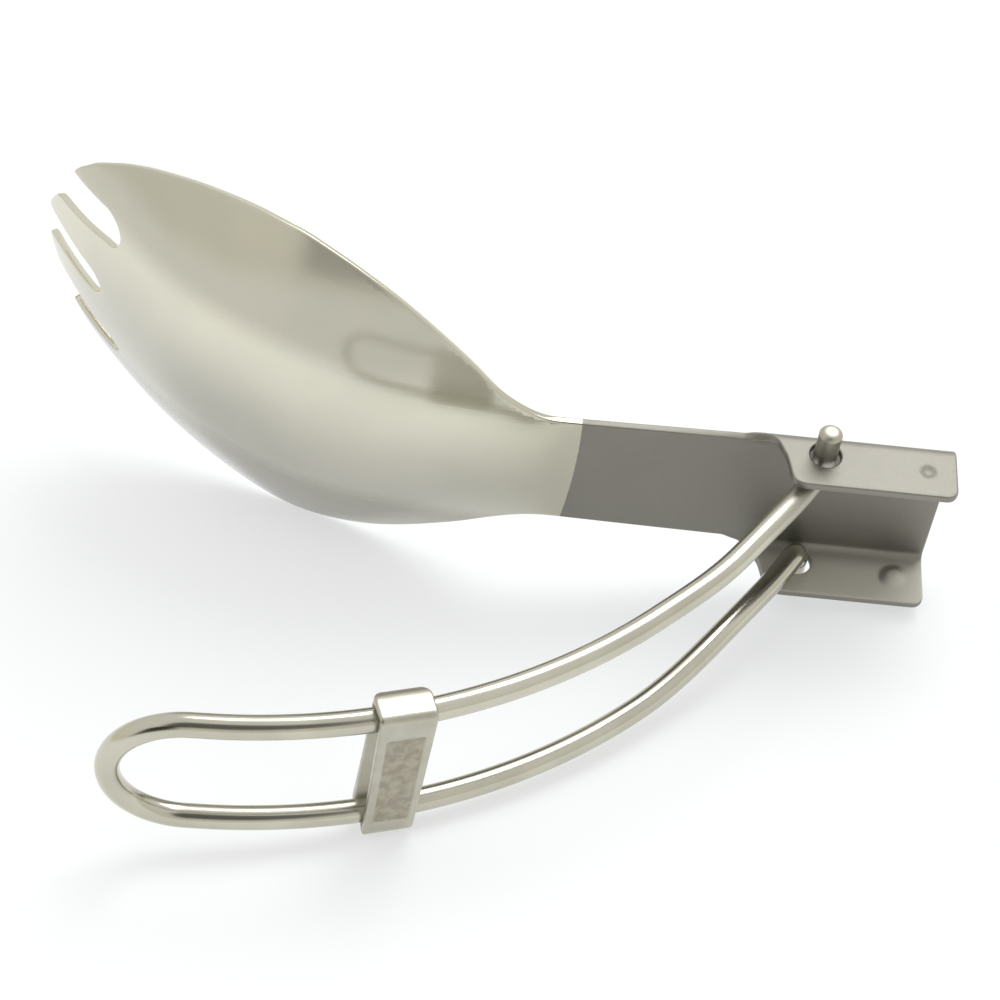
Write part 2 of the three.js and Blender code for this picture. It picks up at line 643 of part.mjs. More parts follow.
// Lay the pieces on the floor: the spork points to the left and its back faces the front
const up = restingUp(pieces);
const right = new THREE.Vector3(1, 0, 0).addScaledVector(up, -up.x).normalize();
const away = new THREE.Vector3().crossVectors(up, right);
const laid = new THREE.Group();
laid.add(...pieces);
laid.quaternion.setFromRotationMatrix(new THREE.Matrix4().makeBasis(right, away, up).transpose());
laid.updateMatrixWorld(true);
const box = new THREE.Box3().setFromObject(laid, true);
const middle = box.getCenter(new THREE.Vector3());
laid.position.set(-middle.x, -middle.y, -box.min.z);

const spork = new THREE.Group();
spork.name = 'folding_spork';
spork.add(laid);

export default spork;
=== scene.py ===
# %% [markdown]
# # A folding spork
# A camping spork that folds: one stamped and pressed sheet of titanium, one bent wire and one
# sliding band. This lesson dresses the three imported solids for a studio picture. Each piece is
# made again with fine surfaces, in the way that the workshop makes it: the sheet is cut flat
# first and pressed afterwards, the wire is a round section drawn along a path, and the band is
# a wall section led round two wires.

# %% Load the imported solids
import json
import math

import bpy
import numpy as np
from mathutils import Matrix, Vector
from mathutils.geometry import delaunay_2d_cdt


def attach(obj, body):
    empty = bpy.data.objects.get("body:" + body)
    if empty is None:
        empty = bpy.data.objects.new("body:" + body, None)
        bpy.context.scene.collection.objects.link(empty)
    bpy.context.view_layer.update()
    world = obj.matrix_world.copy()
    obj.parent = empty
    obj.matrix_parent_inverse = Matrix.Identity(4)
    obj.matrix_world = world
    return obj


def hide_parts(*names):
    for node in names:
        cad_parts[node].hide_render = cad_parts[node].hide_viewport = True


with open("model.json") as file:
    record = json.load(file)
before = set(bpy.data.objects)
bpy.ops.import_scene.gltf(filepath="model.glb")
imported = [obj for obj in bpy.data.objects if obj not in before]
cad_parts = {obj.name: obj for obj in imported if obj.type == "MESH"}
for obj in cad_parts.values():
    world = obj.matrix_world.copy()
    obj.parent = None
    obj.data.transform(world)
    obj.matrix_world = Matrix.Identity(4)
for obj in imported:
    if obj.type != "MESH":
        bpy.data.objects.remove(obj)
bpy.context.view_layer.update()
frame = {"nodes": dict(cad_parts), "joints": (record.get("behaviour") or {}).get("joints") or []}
MM = 0.001
print("solids:", sorted(frame["nodes"]))

# %% [markdown]
# ## The workshop's sizes
# The drawing of the spork is in its own frame, in millimetres: the pivot lies above the origin,
# X runs along the neck towards the channel's open end, Y across it, and Z towards the side that
# the back of the bowl faces. The sizes are those of the solids, so that every fine piece lies
# where its solid lies. Only the dimples, the collar's turns and its panel differ, by fractions
# of a millimetre, because light shows such small forms more clearly than the solids need to.

# %% Sizes of the sheet
SHEET = 0.9
BEND_RADIUS = 1.3
CHANNEL_WIDTH = 19.2
CHANNEL_REAR = 13.9
CHANNEL_FRONT = 1.85
FLANGE_HEIGHT = 7.3
FLANGE_CORNER = 1.2
FLANGE_FRONT_RUN = 6.5
FLANGE_RUN_SHARES = [0, 0.15, 0.31, 0.46, 0.54, 0.6, 0.66, 0.7, 0.74, 0.8, 0.88, 1]
FLANGE_RISE_SHARES = [0, 0.05, 0.1, 0.18, 0.26, 0.385, 0.51, 0.665, 0.84, 0.938, 0.98, 1]
NECK_LENGTH = 17.35
NECK_BOWL_WIDTH = 15.75
NECK_CHANNEL_WIDTH = 16.5
BOWL_LENGTH = 59.2
BOWL_WIDTH = 44
BOWL_DEPTH = 7.05
TIP_DROP = 29.4
WIDEST_SHARE = 0.525
FLARE_RUN_SHARES = [0, 0.125, 0.25, 0.375, 0.5, 0.625, 0.75, 0.875, 1]
FLARE_WIDTH_SHARES = [0, 0.0152, 0.1409, 0.3629, 0.562, 0.734, 0.8635, 0.9554, 1]
NOSE_RUN_SHARES = [0, 0.15, 0.3, 0.45, 0.6, 0.72, 0.82, 0.9, 0.926, 0.953, 0.977, 0.993, 1]
NOSE_WIDTH_SHARES = [
    1, 0.9914, 0.9548, 0.8913, 0.7976, 0.6906, 0.574, 0.42, 0.33, 0.235, 0.165, 0.105, 0.077]
CENTRE_RUN_SHARES = [
    0, 0.07, 0.14, 0.21, 0.29, 0.38, 0.48, 0.58, 0.68, 0.78, 0.86, 0.93, 1, 1.07]
CENTRE_DROP_SHARES = [
    0, -0.0247, -0.0213, -0.0088, 0.0034, 0.0258, 0.0751, 0.1549, 0.2653, 0.4228, 0.5939, 0.771,
    1, 1.2791]
HOLLOW_RUN_SHARES = [0, 0.07, 0.14, 0.23, 0.35, 0.525, 0.66, 0.78, 0.88, 1]
HOLLOW_SHARES = [0, 0.8777, 0.9249, 0.9431, 0.9258, 1, 1.2317, 1.4564, 1.6172, 1.7165]

half_sheet = SHEET / 2
flat_half = CHANNEL_WIDTH / 2 - half_sheet - BEND_RADIUS
bend_length = BEND_RADIUS * math.pi / 2
full_reach = flat_half + bend_length + FLANGE_HEIGHT - half_sheet - BEND_RADIUS
front_start = -CHANNEL_FRONT - FLANGE_FRONT_RUN
neck_end = front_start - NECK_LENGTH
tip = neck_end - BOWL_LENGTH
print(f"from tine tips to channel end: {CHANNEL_REAR - tip:.1f} mm")

# %% Sizes of the slots, holes and dimples
CENTRE_SLOT_WIDTH = 3.2
CENTRE_SLOT_LENGTH = 7
CENTRE_SLOT_MOUTH = 4.1
SIDE_SLOT_WIDTH = 3.4
SIDE_SLOT_LENGTH = 9.2
SIDE_SLOT_OFFSET = 8.85
SIDE_SLOT_INNER = 4.5
SIDE_SLOT_OUTER = 9.3
OVERRUN = 1.4
PIN_FLOOR_GAP = 0.75
HOLE_CLEARANCE = 0.8
HOLE_LIFT = 0.2
DIMPLE_DISTANCE = 10.8
DIMPLE_HEIGHT = 4.0
BUMP_RADIUS = 1.5
BUMP_RISE = 0.6
RECESS_RADIUS = 1.1
RECESS_DEPTH = 0.25
EDGE_RADIUS = 0.2
TINE_CORNER = 0.75
OUTER_TINE_CORNER = 0.3

# %% Sizes of the wire and the collar
WIRE = 2.5
ARM_FLANGE_GAP = 0.65
PIN_PROTRUSION = 3.6
CORNER_BEND = 1.7
ROOT_LENGTH = 7
ROOT_ANGLE = 8
STRAIGHT_LENGTH = 8.4
BOW_RADIUS = 67.2
BOW_LENGTH = 60.6
TAIL_LENGTH = 1.6
SPREAD_START = 14.5
SPREAD_END = 28
LOOP_WIDTH = 15.9
HANDLE_ANGLE = 62
COLLAR_LENGTH = 5.5
COLLAR_WALL = 0.8
COLLAR_CLEARANCE = 0.3
COLLAR_SIDE_CLEARANCE = 0.5
COLLAR_SKEW = 2.5
COLLAR_POSITION = 57.5
COLLAR_EDGE = 0.25
COLLAR_CORNER = 1.6
PANEL_MARGIN = 0.7
PANEL_WIDTH = 14.5
PANEL_DEPTH = 0.15
PANEL_SLOPE = 0.3

wire_radius = WIRE / 2
pin_height = SHEET + PIN_FLOOR_GAP + wire_radius
arm_narrow = CHANNEL_WIDTH / 2 - SHEET - ARM_FLANGE_GAP - wire_radius
arm_wide = LOOP_WIDTH / 2
bow_start = ROOT_LENGTH + STRAIGHT_LENGTH
arm_length = bow_start + BOW_LENGTH + TAIL_LENGTH
print(f"pin height {pin_height:.2f} mm, arms {2 * arm_narrow:.1f} to {2 * arm_wide:.1f} mm apart")

# %% [markdown]
# ## From the drawing to the floor
# The spork lies on its side, so the drawing's frame is turned against the scene's. The packed
# record has two hinge points on the wire handle: the pins, and the centre of the arms' bow. The
# drawing knows both places too. Two points and the hinge's direction fix how the drawing lies,
# so nothing has to be placed by hand.

# %% Follow the arm of the wire
def arm_at(distances):
    """Place, direction angle and half spacing of the arms at distances from the pivot."""
    distances = np.atleast_1d(np.asarray(distances, float))
    place = np.tile([0.0, 0.0, pin_height], (len(distances), 1))
    angle = np.full(len(distances), math.radians(HANDLE_ANGLE))
    left = distances.copy()
    runs = [
        (ROOT_LENGTH, math.radians(ROOT_ANGLE) / ROOT_LENGTH),
        (STRAIGHT_LENGTH, 0),
        (BOW_LENGTH, 1 / BOW_RADIUS),
        (TAIL_LENGTH, 0),
    ]
    for length, bend in runs:
        run = np.minimum(left, length)
        turn = run * bend
        chord = run if bend == 0 else 2 * np.sin(turn / 2) / bend
        place[:, 0] -= chord * np.cos(angle - turn / 2)
        place[:, 2] += chord * np.sin(angle - turn / 2)
        angle = angle - turn
        left = left - run
    share = np.clip((distances - SPREAD_START) / (SPREAD_END - SPREAD_START), 0, 1)
    spread = share * share * (3 - 2 * share)
    return place, angle, arm_narrow + (arm_wide - arm_narrow) * spread


def bow_centre():
    place, angle, _ = arm_at(bow_start)
    inward = np.array([-math.sin(angle[0]), 0, -math.cos(angle[0])])
    return place[0] + BOW_RADIUS * inward


print("centre of the bow in the drawing:", bow_centre().round(2))

# %% Find how the drawing lies in the scene
joints = {joint["name"]: joint for joint in frame["joints"]}
pivot = np.array(joints["handle_fold"]["pos_m"]) / MM
lever = np.array(joints["collar_slide"]["pos_m"]) / MM - pivot
across = np.array(joints["handle_fold"]["axis"])
across = across / np.linalg.norm(across)
lever -= across * (lever @ across)
drawn_x, _, drawn_z = bow_centre() - [0, 0, pin_height]
beside = np.cross(across, lever)
size = drawn_x ** 2 + drawn_z ** 2
along = (drawn_x * lever + drawn_z * beside) / size
outward = (drawn_z * lever - drawn_x * beside) / size


def placed(points):
    """Points of the drawing, in millimetres, as places in the scene, in metres."""
    points = np.asarray(points, float)
    turned = (points[:, :1] * along + points[:, 1:2] * across
              + (points[:, 2:] - pin_height) * outward)
    return (pivot + turned) * MM


print("lengths of the turned axes:", [round(float(np.linalg.norm(v)), 4) for v in (along, outward)])

# %% [markdown]
# ## The camera
# The picture is taken from about 40 degrees above the table with a long lens. A camera could be
# aimed by a constraint, but a direction worked out from two angles is easy to read and to
# change. The camera is made early, because everything that follows is judged through it.

# %% Set up the camera
VIEW_TARGET = (1.548, 7.512, 12.102)
VIEW_DISTANCE = 342
VIEW_AZIMUTH = 1.664
VIEW_ELEVATION = 39.661
VIEW_ROLL = -0.387
LENS = 114.6
SENSOR_WIDTH = 36
NEAREST, FARTHEST = 0.01, 20


def add_camera():
    data = bpy.data.cameras.new("camera")
    data.lens = LENS
    data.sensor_width = SENSOR_WIDTH
    data.clip_start = NEAREST
    data.clip_end = FARTHEST
    camera = bpy.data.objects.new("camera", data)
    bpy.context.scene.collection.objects.link(camera)
    azimuth, elevation = math.radians(VIEW_AZIMUTH), math.radians(VIEW_ELEVATION)
    back = Vector((
        math.sin(azimuth) * math.cos(elevation),
        -math.cos(azimuth) * math.cos(elevation),
        math.sin(elevation)))
    roll = Matrix.Rotation(math.radians(VIEW_ROLL), 3, back)
    turn = roll @ back.to_track_quat("Z", "Y").to_matrix()
    place = (Vector(VIEW_TARGET) + back * VIEW_DISTANCE) * MM
    camera.matrix_world = Matrix.Translation(place) @ turn.to_4x4()
    bpy.context.scene.camera = camera
    return camera


camera = add_camera()
print("camera at", [round(c, 4) for c in camera.matrix_world.translation])

# %% [markdown]
# ## The blank
# A spork like this starts as a flat piece cut from sheet. Cutting it flat and pressing it
# afterwards is also the easiest way to model it: the outline, the slots and the pivot holes are
# plain closed lines in two dimensions, and one formula then folds the flanges up and presses
# the bowl. The bowl could be lofted or sculpted instead, but then the tines would have to be
# cut out of a curved surface. Every point of the blank has two numbers, its place along the
# spork and its reach from the middle line, measured on the sheet.

# %% Smooth curves through short tables
def eased(places, values, at):
    """A smooth curve through a table, level at both of its ends."""
    places, values = np.array(places, float), np.array(values, float)
    spans = np.diff(places)
    slope = np.diff(values) / spans
    inner = (slope[:-1] * spans[1:] + slope[1:] * spans[:-1]) / (spans[:-1] + spans[1:])
    tangent = np.concatenate([[0], inner, [0]])
    at = np.clip(at, places[0], places[-1])
    k = np.clip(np.searchsorted(places, at, side="right") - 1, 0, len(places) - 2)
    span = spans[k]
    u = (at - places[k]) / span
    square, cube = u * u, u ** 3
    return (values[k] * (2 * cube - 3 * square + 1) + values[k + 1] * (3 * square - 2 * cube)
            + span * (tangent[k] * (cube - 2 * square + u) + tangent[k + 1] * (cube - square)))


def mix(a, b, share):
    return a + (b - a) * share


print("halfway through the fall of the bowl's middle line:",
      eased(CENTRE_RUN_SHARES, CENTRE_DROP_SHARES, 0.5).round(3))

# %% Outline and pressed form of the sheet
def blank_reach(x):
    """Half width of the blank at places along the spork."""
    x = np.asarray(x, float)
    share = np.clip((neck_end - x) / BOWL_LENGTH, 0, 1)
    nose_run = (share - WIDEST_SHARE) / (1 - WIDEST_SHARE)
    nose = BOWL_WIDTH / 2 * eased(NOSE_RUN_SHARES, NOSE_WIDTH_SHARES, nose_run)
    flare_share = eased(FLARE_RUN_SHARES, FLARE_WIDTH_SHARES, share / WIDEST_SHARE)
    flare = mix(NECK_BOWL_WIDTH / 2, BOWL_WIDTH / 2, flare_share)
    neck = mix(NECK_BOWL_WIDTH / 2, NECK_CHANNEL_WIDTH / 2, (x - neck_end) / NECK_LENGTH)
    run = np.clip((x - front_start) / FLANGE_FRONT_RUN, 0, 1)
    rise = eased(FLANGE_RUN_SHARES, FLANGE_RISE_SHARES, run)
    flange = mix(NECK_CHANNEL_WIDTH / 2, full_reach, rise)
    into = np.clip(x - CHANNEL_REAR + FLANGE_CORNER, 0, FLANGE_CORNER)
    corner = FLANGE_CORNER - np.sqrt(np.maximum(FLANGE_CORNER ** 2 - into ** 2, 0))
    return np.select([share > WIDEST_SHARE, share > 0, x < front_start], [nose, flare, neck],
                     flange - corner)


def pressed(flat):
    """Middle layer of the pressed sheet at points (place along, reach) of the blank."""
    x, reach = flat[:, 0], flat[:, 1]
    away = np.abs(reach)
    fold = np.clip((x - neck_end) / NECK_LENGTH, 0, 1)
    turn = np.clip((away - flat_half) / BEND_RADIUS, 0, math.pi / 2)
    bent = away > flat_half
    folded_away = np.where(bent, flat_half + BEND_RADIUS * np.sin(turn), away)
    folded_up = np.where(
        bent,
        BEND_RADIUS * (1 - np.cos(turn)) + np.maximum(away - flat_half - bend_length, 0), 0)
    y = np.sign(reach) * mix(away, folded_away, fold)
    share = np.clip((neck_end - x) / BOWL_LENGTH, 0, 1)
    centre = -TIP_DROP * eased(CENTRE_RUN_SHARES, CENTRE_DROP_SHARES, share)
    hollow = BOWL_DEPTH * eased(HOLLOW_RUN_SHARES, HOLLOW_SHARES, share)
    z = half_sheet + folded_up * fold + centre - hollow * (y / (BOWL_WIDTH / 2)) ** 2
    return np.column_stack([x, y, z])


NORMAL_STEP = 0.01


def facing(flat):
    """Direction out of the sheet, on the side that the flanges are bent to."""
    step_x, step_y = np.array([[NORMAL_STEP, 0]]), np.array([[0, NORMAL_STEP]])
    run = pressed(flat + step_x) - pressed(flat - step_x)
    side = pressed(flat + step_y) - pressed(flat - step_y)
    normal = np.cross(run, side)
    return normal / np.linalg.norm(normal, axis=1)[:, None]


print(f"widest half width {blank_reach(np.array([mix(neck_end, tip, WIDEST_SHARE)]))[0]:.1f} mm")

# %% [markdown]
# ## The cut outline
# Half of the outline is followed from the middle of the channel's end, up round the flange,
# along the neck and the bowl, and in and out of the slots. The other half is its mirror image.
# The points where tines end get small round corners, as tumbling in the polishing drum leaves
# them. The line is then stepped evenly, so that the rounded edge of the sheet has even strips.

# %% Follow half of the outline
SAMPLES = 1600
ARC_SAMPLES = 40


def arc(centre, radius, start, end, count=ARC_SAMPLES):
    turns = np.radians(np.linspace(start, end, count))
    return np.column_stack([centre[0] + radius * np.cos(turns), centre[1] + radius * np.sin(turns)])


def nose_piece(outer_side, inner_side):
    """The bowl's front edge between two lines, each given as two points of a slot's side."""
    x = tip + (neck_end - tip) * np.linspace(0, 1, SAMPLES) ** 2
    y = blank_reach(x)
    keep = np.ones(len(x), bool)
    if outer_side is not None:
        (x0, y0), (x1, y1) = outer_side
        keep &= y < mix(y0, y1, (x - x0) / (x1 - x0))
    if inner_side is not None:
        (x0, y0), (x1, y1) = inner_side
        keep &= y > mix(y0, y1, (x - x0) / (x1 - x0))
    keep &= x < mix(neck_end, tip, WIDEST_SHARE)
    return np.column_stack([x, y])[keep][::-1]


def softened(line, corner, reach):
    """A line with its corner point replaced by a small curve, reach long on both sides."""
    gap = np.linalg.norm(line - line[corner], axis=1)
    first = corner
    while first > 0 and gap[first] < reach:
        first -= 1
    last = corner
    while last < len(line) - 1 and gap[last] < reach:
        last += 1
    start, middle, end = line[first], line[corner], line[last]
    t = np.linspace(0, 1, ARC_SAMPLES)[:, None]
    curve = (1 - t) ** 2 * start + 2 * t * (1 - t) * middle + t ** 2 * end
    return np.vstack([line[:first], curve, line[last + 1:]])


def half_outline():
    rear = arc((CHANNEL_REAR - FLANGE_CORNER, full_reach - FLANGE_CORNER), FLANGE_CORNER, 0, 90)
    x = np.linspace(CHANNEL_REAR - FLANGE_CORNER, mix(neck_end, tip, WIDEST_SHARE), SAMPLES)[1:]
    side = np.column_stack([x, blank_reach(x)])
    radius = SIDE_SLOT_WIDTH / 2
    slot_end = (tip + SIDE_SLOT_LENGTH - radius, SIDE_SLOT_OFFSET)
    outer = ((tip - OVERRUN, SIDE_SLOT_OUTER), (slot_end[0], SIDE_SLOT_OFFSET + radius))
    inner = ((tip - OVERRUN, SIDE_SLOT_INNER), (slot_end[0], SIDE_SLOT_OFFSET - radius))
    centre_radius = CENTRE_SLOT_WIDTH / 2
    centre_end = (tip + CENTRE_SLOT_LENGTH - centre_radius, 0)
    middle = ((tip - OVERRUN, CENTRE_SLOT_MOUTH / 2), (centre_end[0], centre_radius))
    outer_tine = nose_piece(None, outer)
    inner_tine = nose_piece(inner, middle)
    side_end = arc(slot_end, radius, 90, -90)
    centre_arc = arc(centre_end, centre_radius, 90, 0)
    line = np.vstack([
        [[CHANNEL_REAR, 0]], rear, side, outer_tine, side_end, inner_tine, centre_arc])
    start = 1 + len(rear) + len(side)
    corners = [
        (start + len(outer_tine) - 1, OUTER_TINE_CORNER),
        (start + len(outer_tine) + len(side_end), TINE_CORNER),
        (start + len(outer_tine) + len(side_end) + len(inner_tine) - 1, TINE_CORNER),
    ]
    return stepped(line, corners)


OUTLINE_STEP = 0.25
FINE_STEP = OUTLINE_STEP / 4
SAME_PLACE = 1e-9


def evenly(line, step):
    """The same line with points at even distances."""
    run = np.concatenate([[0], np.cumsum(np.linalg.norm(np.diff(line, axis=0), axis=1))])
    keep = np.concatenate([[True], np.diff(run) > SAME_PLACE])
    line, run = line[keep], run[keep]
    at = np.linspace(0, run[-1], int(round(run[-1] / step)) + 1)
    return np.column_stack([np.interp(at, run, line[:, 0]), np.interp(at, run, line[:, 1])])


def stepped(line, corners):
    """The outline in even steps, with each marked corner rounded over its own reach."""
    marks = [line[k] for k, _ in corners]
    line = evenly(line, FINE_STEP)
    for mark, (_, reach) in zip(marks, corners):
        corner = int(np.argmin(np.linalg.norm(line - mark, axis=1)))
        line[corner] = mark
        line = softened(line, corner, reach)
    return evenly(line, OUTLINE_STEP)


half_line = half_outline()
outline = np.vstack([half_line, half_line[-2:0:-1] * [1, -1]])
print(f"{len(outline)} points on an outline {len(outline) * OUTLINE_STEP:.0f} mm long")

# %% [markdown]
# ## From the blank to the pressed sheet
# The flat blank gets a net of small triangles. Along every cut line the edge is rounded: a few
# closed rings go from the upper face over the rim to the lower face, each a little further out
# and lower than the last. Solidify and Bevel modifiers could do this too, but a bevel breaks up
# where slots are narrow, and rings that follow the cut stay even. The net in the folds is finer
# than on the flat parts. Then every point is pressed into place, half the sheet's thickness to
# either side of the middle layer.

# %% Cut lines, their insets and the points between
EDGE_STEPS = 4
NET_STEP = 0.5
FOLD_STEP = 0.2
DIMPLE_STEP = 0.17
HOLE_SIDES = 48
ROW_SHARE = 0.87
RIM_ROOM = 0.7 * OUTLINE_STEP
BATCH = 2000
hole_radius = (WIRE + HOLE_CLEARANCE) / 2
fold_end = flat_half + bend_length


def flange_reach(height):
    """Reach on the blank that comes to a height on the folded flange."""
    return height - half_sheet - BEND_RADIUS + fold_end


def inset(loop, distance):
    """A closed line moved to its left by a distance."""
    step = np.roll(loop, -1, axis=0) - np.roll(loop, 1, axis=0)
    step /= np.linalg.norm(step, axis=1)[:, None]
    return loop + distance * np.column_stack([-step[:, 1], step[:, 0]])


def ring(centre, radius, count):
    turns = -2 * math.pi * np.arange(count) / count
    return np.column_stack([centre[0] + radius * np.cos(turns), centre[1] + radius * np.sin(turns)])


def inside(points, loops):
    """Which points lie on the material, counting the crossings with all cut lines."""
    odd = np.zeros(len(points), bool)
    for loop in loops:
        a, b = loop, np.roll(loop, -1, axis=0)
        for k in range(0, len(points), BATCH):
            x, y = points[k:k + BATCH, :1], points[k:k + BATCH, 1:]
            crosses = (a[:, 1] > y) != (b[:, 1] > y)
            rise = np.where(b[:, 1] == a[:, 1], 1, b[:, 1] - a[:, 1])
            at = a[:, 0] + (y - a[:, 1]) / rise * (b[:, 0] - a[:, 0])
            odd[k:k + BATCH] ^= np.sum(crosses & (x < at), axis=1) % 2 == 1
    return odd


def grid(x0, x1, y0, y1, step_x, step_y):
    """Rows of points, every second row moved on by half a step."""
    rows = np.arange(y0, y1 + SAME_PLACE, step_y)
    columns = np.arange(x0, x1, step_x)
    x, y = np.meshgrid(columns, rows)
    x = x + (np.arange(len(rows)) % 2)[:, None] * step_x / 2
    return np.column_stack([x.ravel(), y.ravel()])


hole_centres = [(0.0, side * flange_reach(pin_height + HOLE_LIFT)) for side in (1, -1)]
dimple_centres = [(DIMPLE_DISTANCE, side * flange_reach(DIMPLE_HEIGHT)) for side in (1, -1)]
cut_lines = [outline] + [ring(centre, hole_radius, HOLE_SIDES) for centre in hole_centres]


def net_points():
    """Points inside the cut lines, dense in the folds and round the dimples, and their rims."""
    dimple = BUMP_RADIUS + DIMPLE_STEP
    fold_low, fold_high = flat_half - 2 * FOLD_STEP, fold_end + 2 * FOLD_STEP
    rows = NET_STEP * ROW_SHARE
    wide = grid(tip, neck_end, -BOWL_WIDTH / 2, BOWL_WIDTH / 2, NET_STEP, rows)
    floor = grid(neck_end, CHANNEL_REAR, -fold_low + rows / 2, fold_low - rows / 2, NET_STEP, rows)
    parts = [wide, floor]
    for side in (1, -1):
        fold = grid(neck_end, CHANNEL_REAR, fold_low, fold_high, NET_STEP, FOLD_STEP)
        wall = grid(neck_end, CHANNEL_REAR, fold_high + rows / 2, full_reach, NET_STEP, rows)
        parts += [fold * [1, side], wall * [1, side]]
    points = np.vstack(parts)
    for centre in dimple_centres:
        points = points[np.linalg.norm(points - centre, axis=1) > dimple + NET_STEP / 2]
    for centre in dimple_centres:
        points = np.vstack([points, [centre]])
        for k in range(1, int(dimple / DIMPLE_STEP) + 2):
            points = np.vstack([points, ring(centre, k * DIMPLE_STEP, 6 * k)])
    loops = [inset(loop, EDGE_RADIUS) for loop in cut_lines]
    points = points[inside(points, loops)]
    rim = np.vstack(loops)
    near = [np.min(np.linalg.norm(rim - point, axis=1)) for point in points]
    return points[np.array(near) > RIM_ROOM], loops


net, inner_loops = net_points()
print(f"{len(net)} points between the cut lines")

# %% Press the net
MERGE_DISTANCE = 1e-7


def sheet_levels():
    """Inset and height of each ring on the way round the edge, from the upper face down."""
    turns = np.linspace(0, math.pi / 2, EDGE_STEPS + 1)
    insets = EDGE_RADIUS * (1 - np.sin(turns))
    heights = half_sheet - EDGE_RADIUS * (1 - np.cos(turns))
    return list(zip(insets, heights)) + list(zip(insets[::-1], -heights[::-1]))


def dimple_rise(flat, radius, rise):
    """Height of the round pressed dimples at points of the blank."""
    total = np.zeros(len(flat))
    for centre in dimple_centres:
        share = np.clip(np.linalg.norm(flat - centre, axis=1) / radius, 0, 1)
        total += rise * (1 - share ** 2) ** 2
    return total


def spork_sheet_mesh():
    loops = inner_loops
    flat = np.vstack([net] + loops)
    edges, start = [], len(net)
    for loop in loops:
        count = len(loop)
        edges += [(start + k, start + (k + 1) % count) for k in range(count)]
        start += count
    found = delaunay_2d_cdt([Vector(p) for p in flat], edges, [], 0, MERGE_DISTANCE)
    triangles = np.array([face for face in found[2] if len(face) == 3])
    flat = np.array([tuple(point) for point in found[0]])
    triangles = triangles[inside(flat[triangles].mean(axis=1), loops)]
    a, b, c = (flat[triangles[:, k]] for k in range(3))
    turned = np.cross(b - a, c - a) < 0
    triangles[turned] = triangles[turned][:, ::-1]
    levels = sheet_levels()
    place, normal = pressed(flat), facing(flat)
    upper = place + normal * (half_sheet + dimple_rise(flat, BUMP_RADIUS, BUMP_RISE))[:, None]
    lower = place - normal * (half_sheet - dimple_rise(flat, RECESS_RADIUS, RECESS_DEPTH))[:, None]
    points, blanks = [upper, lower], [flat, flat]
    sides = [np.ones(len(flat)), -np.ones(len(flat))]
    faces = [tuple(t) for t in triangles] + [tuple(t[::-1] + len(flat)) for t in triangles]
    total, start = 2 * len(flat), len(net)
    for cut, loop in zip(cut_lines, loops):
        count = len(cut)
        rings = [np.arange(start, start + count)]
        for distance, height in levels[1:-1]:
            flat_ring = inset(cut, distance)
            points.append(pressed(flat_ring) + facing(flat_ring) * height)
            blanks.append(flat_ring)
            sides.append(np.full(count, height / half_sheet))
            rings.append(np.arange(total, total + count))
            total += count
        rings.append(np.arange(start, start + count) + len(flat))
        for above, below in zip(rings[:-1], rings[1:]):
            for k in range(count):
                n = (k + 1) % count
                faces.append((above[k], below[k], below[n], above[n]))
        start += count
    return placed(np.vstack(points)), np.vstack(blanks), np.concatenate(sides), faces


def add_mesh(name, points, faces):
    mesh = bpy.data.meshes.new(name)
    mesh.from_pydata([tuple(p) for p in points], [], [tuple(int(k) for k in f) for f in faces])
    mesh.validate()
    mesh.shade_smooth()
    piece = bpy.data.objects.new(name, mesh)
    bpy.context.scene.collection.objects.link(piece)
    return piece


def add_amount(piece, name, amounts):
    """Give every point of a piece one number for its metal to read."""
    piece.data.attributes.new(name, "FLOAT", "POINT").data.foreach_set("value", amounts)


sheet_points, sheet_blank, sheet_sides, sheet_faces = spork_sheet_mesh()
spork_sheet = add_mesh("spork_sheet", sheet_points, sheet_faces)
blank_map = spork_sheet.data.uv_layers.new(name="blank")
corners = np.array([loop.vertex_index for loop in spork_sheet.data.loops])
blank_map.data.foreach_set("uv", sheet_blank[corners].ravel())
add_amount(spork_sheet, "side", sheet_sides)
print(f"sheet: {len(spork_sheet.data.vertices)} points, {len(spork_sheet.data.polygons)} faces")

# %% [markdown]
# ## The wire
# The handle is one wire with the same round section everywhere, so only its middle line is
# worked out here. It goes from the end of one pin round the corner, along the arm, through the
# loop and back on the other side. A curve with a round bevel would look the same from afar, but
# a node tree that sweeps a circle along the line can also store two attributes for the
# material: where a point lies along the wire, and where it lies on the round section. Lines
# left by the drawing die can follow both.

# %% The wire's middle line
PIN_SPOTS = [
    (0, 0.02), (0.012, 0.3), (0.04, 0.52), (0.09, 0.66), (0.17, 0.76), (0.27, 0.85), (0.4, 0.93),
    (0.55, 1)]
CORNER_SPOTS = 16
ARM_SPOT_GAP = 0.8
LOOP_SPOTS = 36


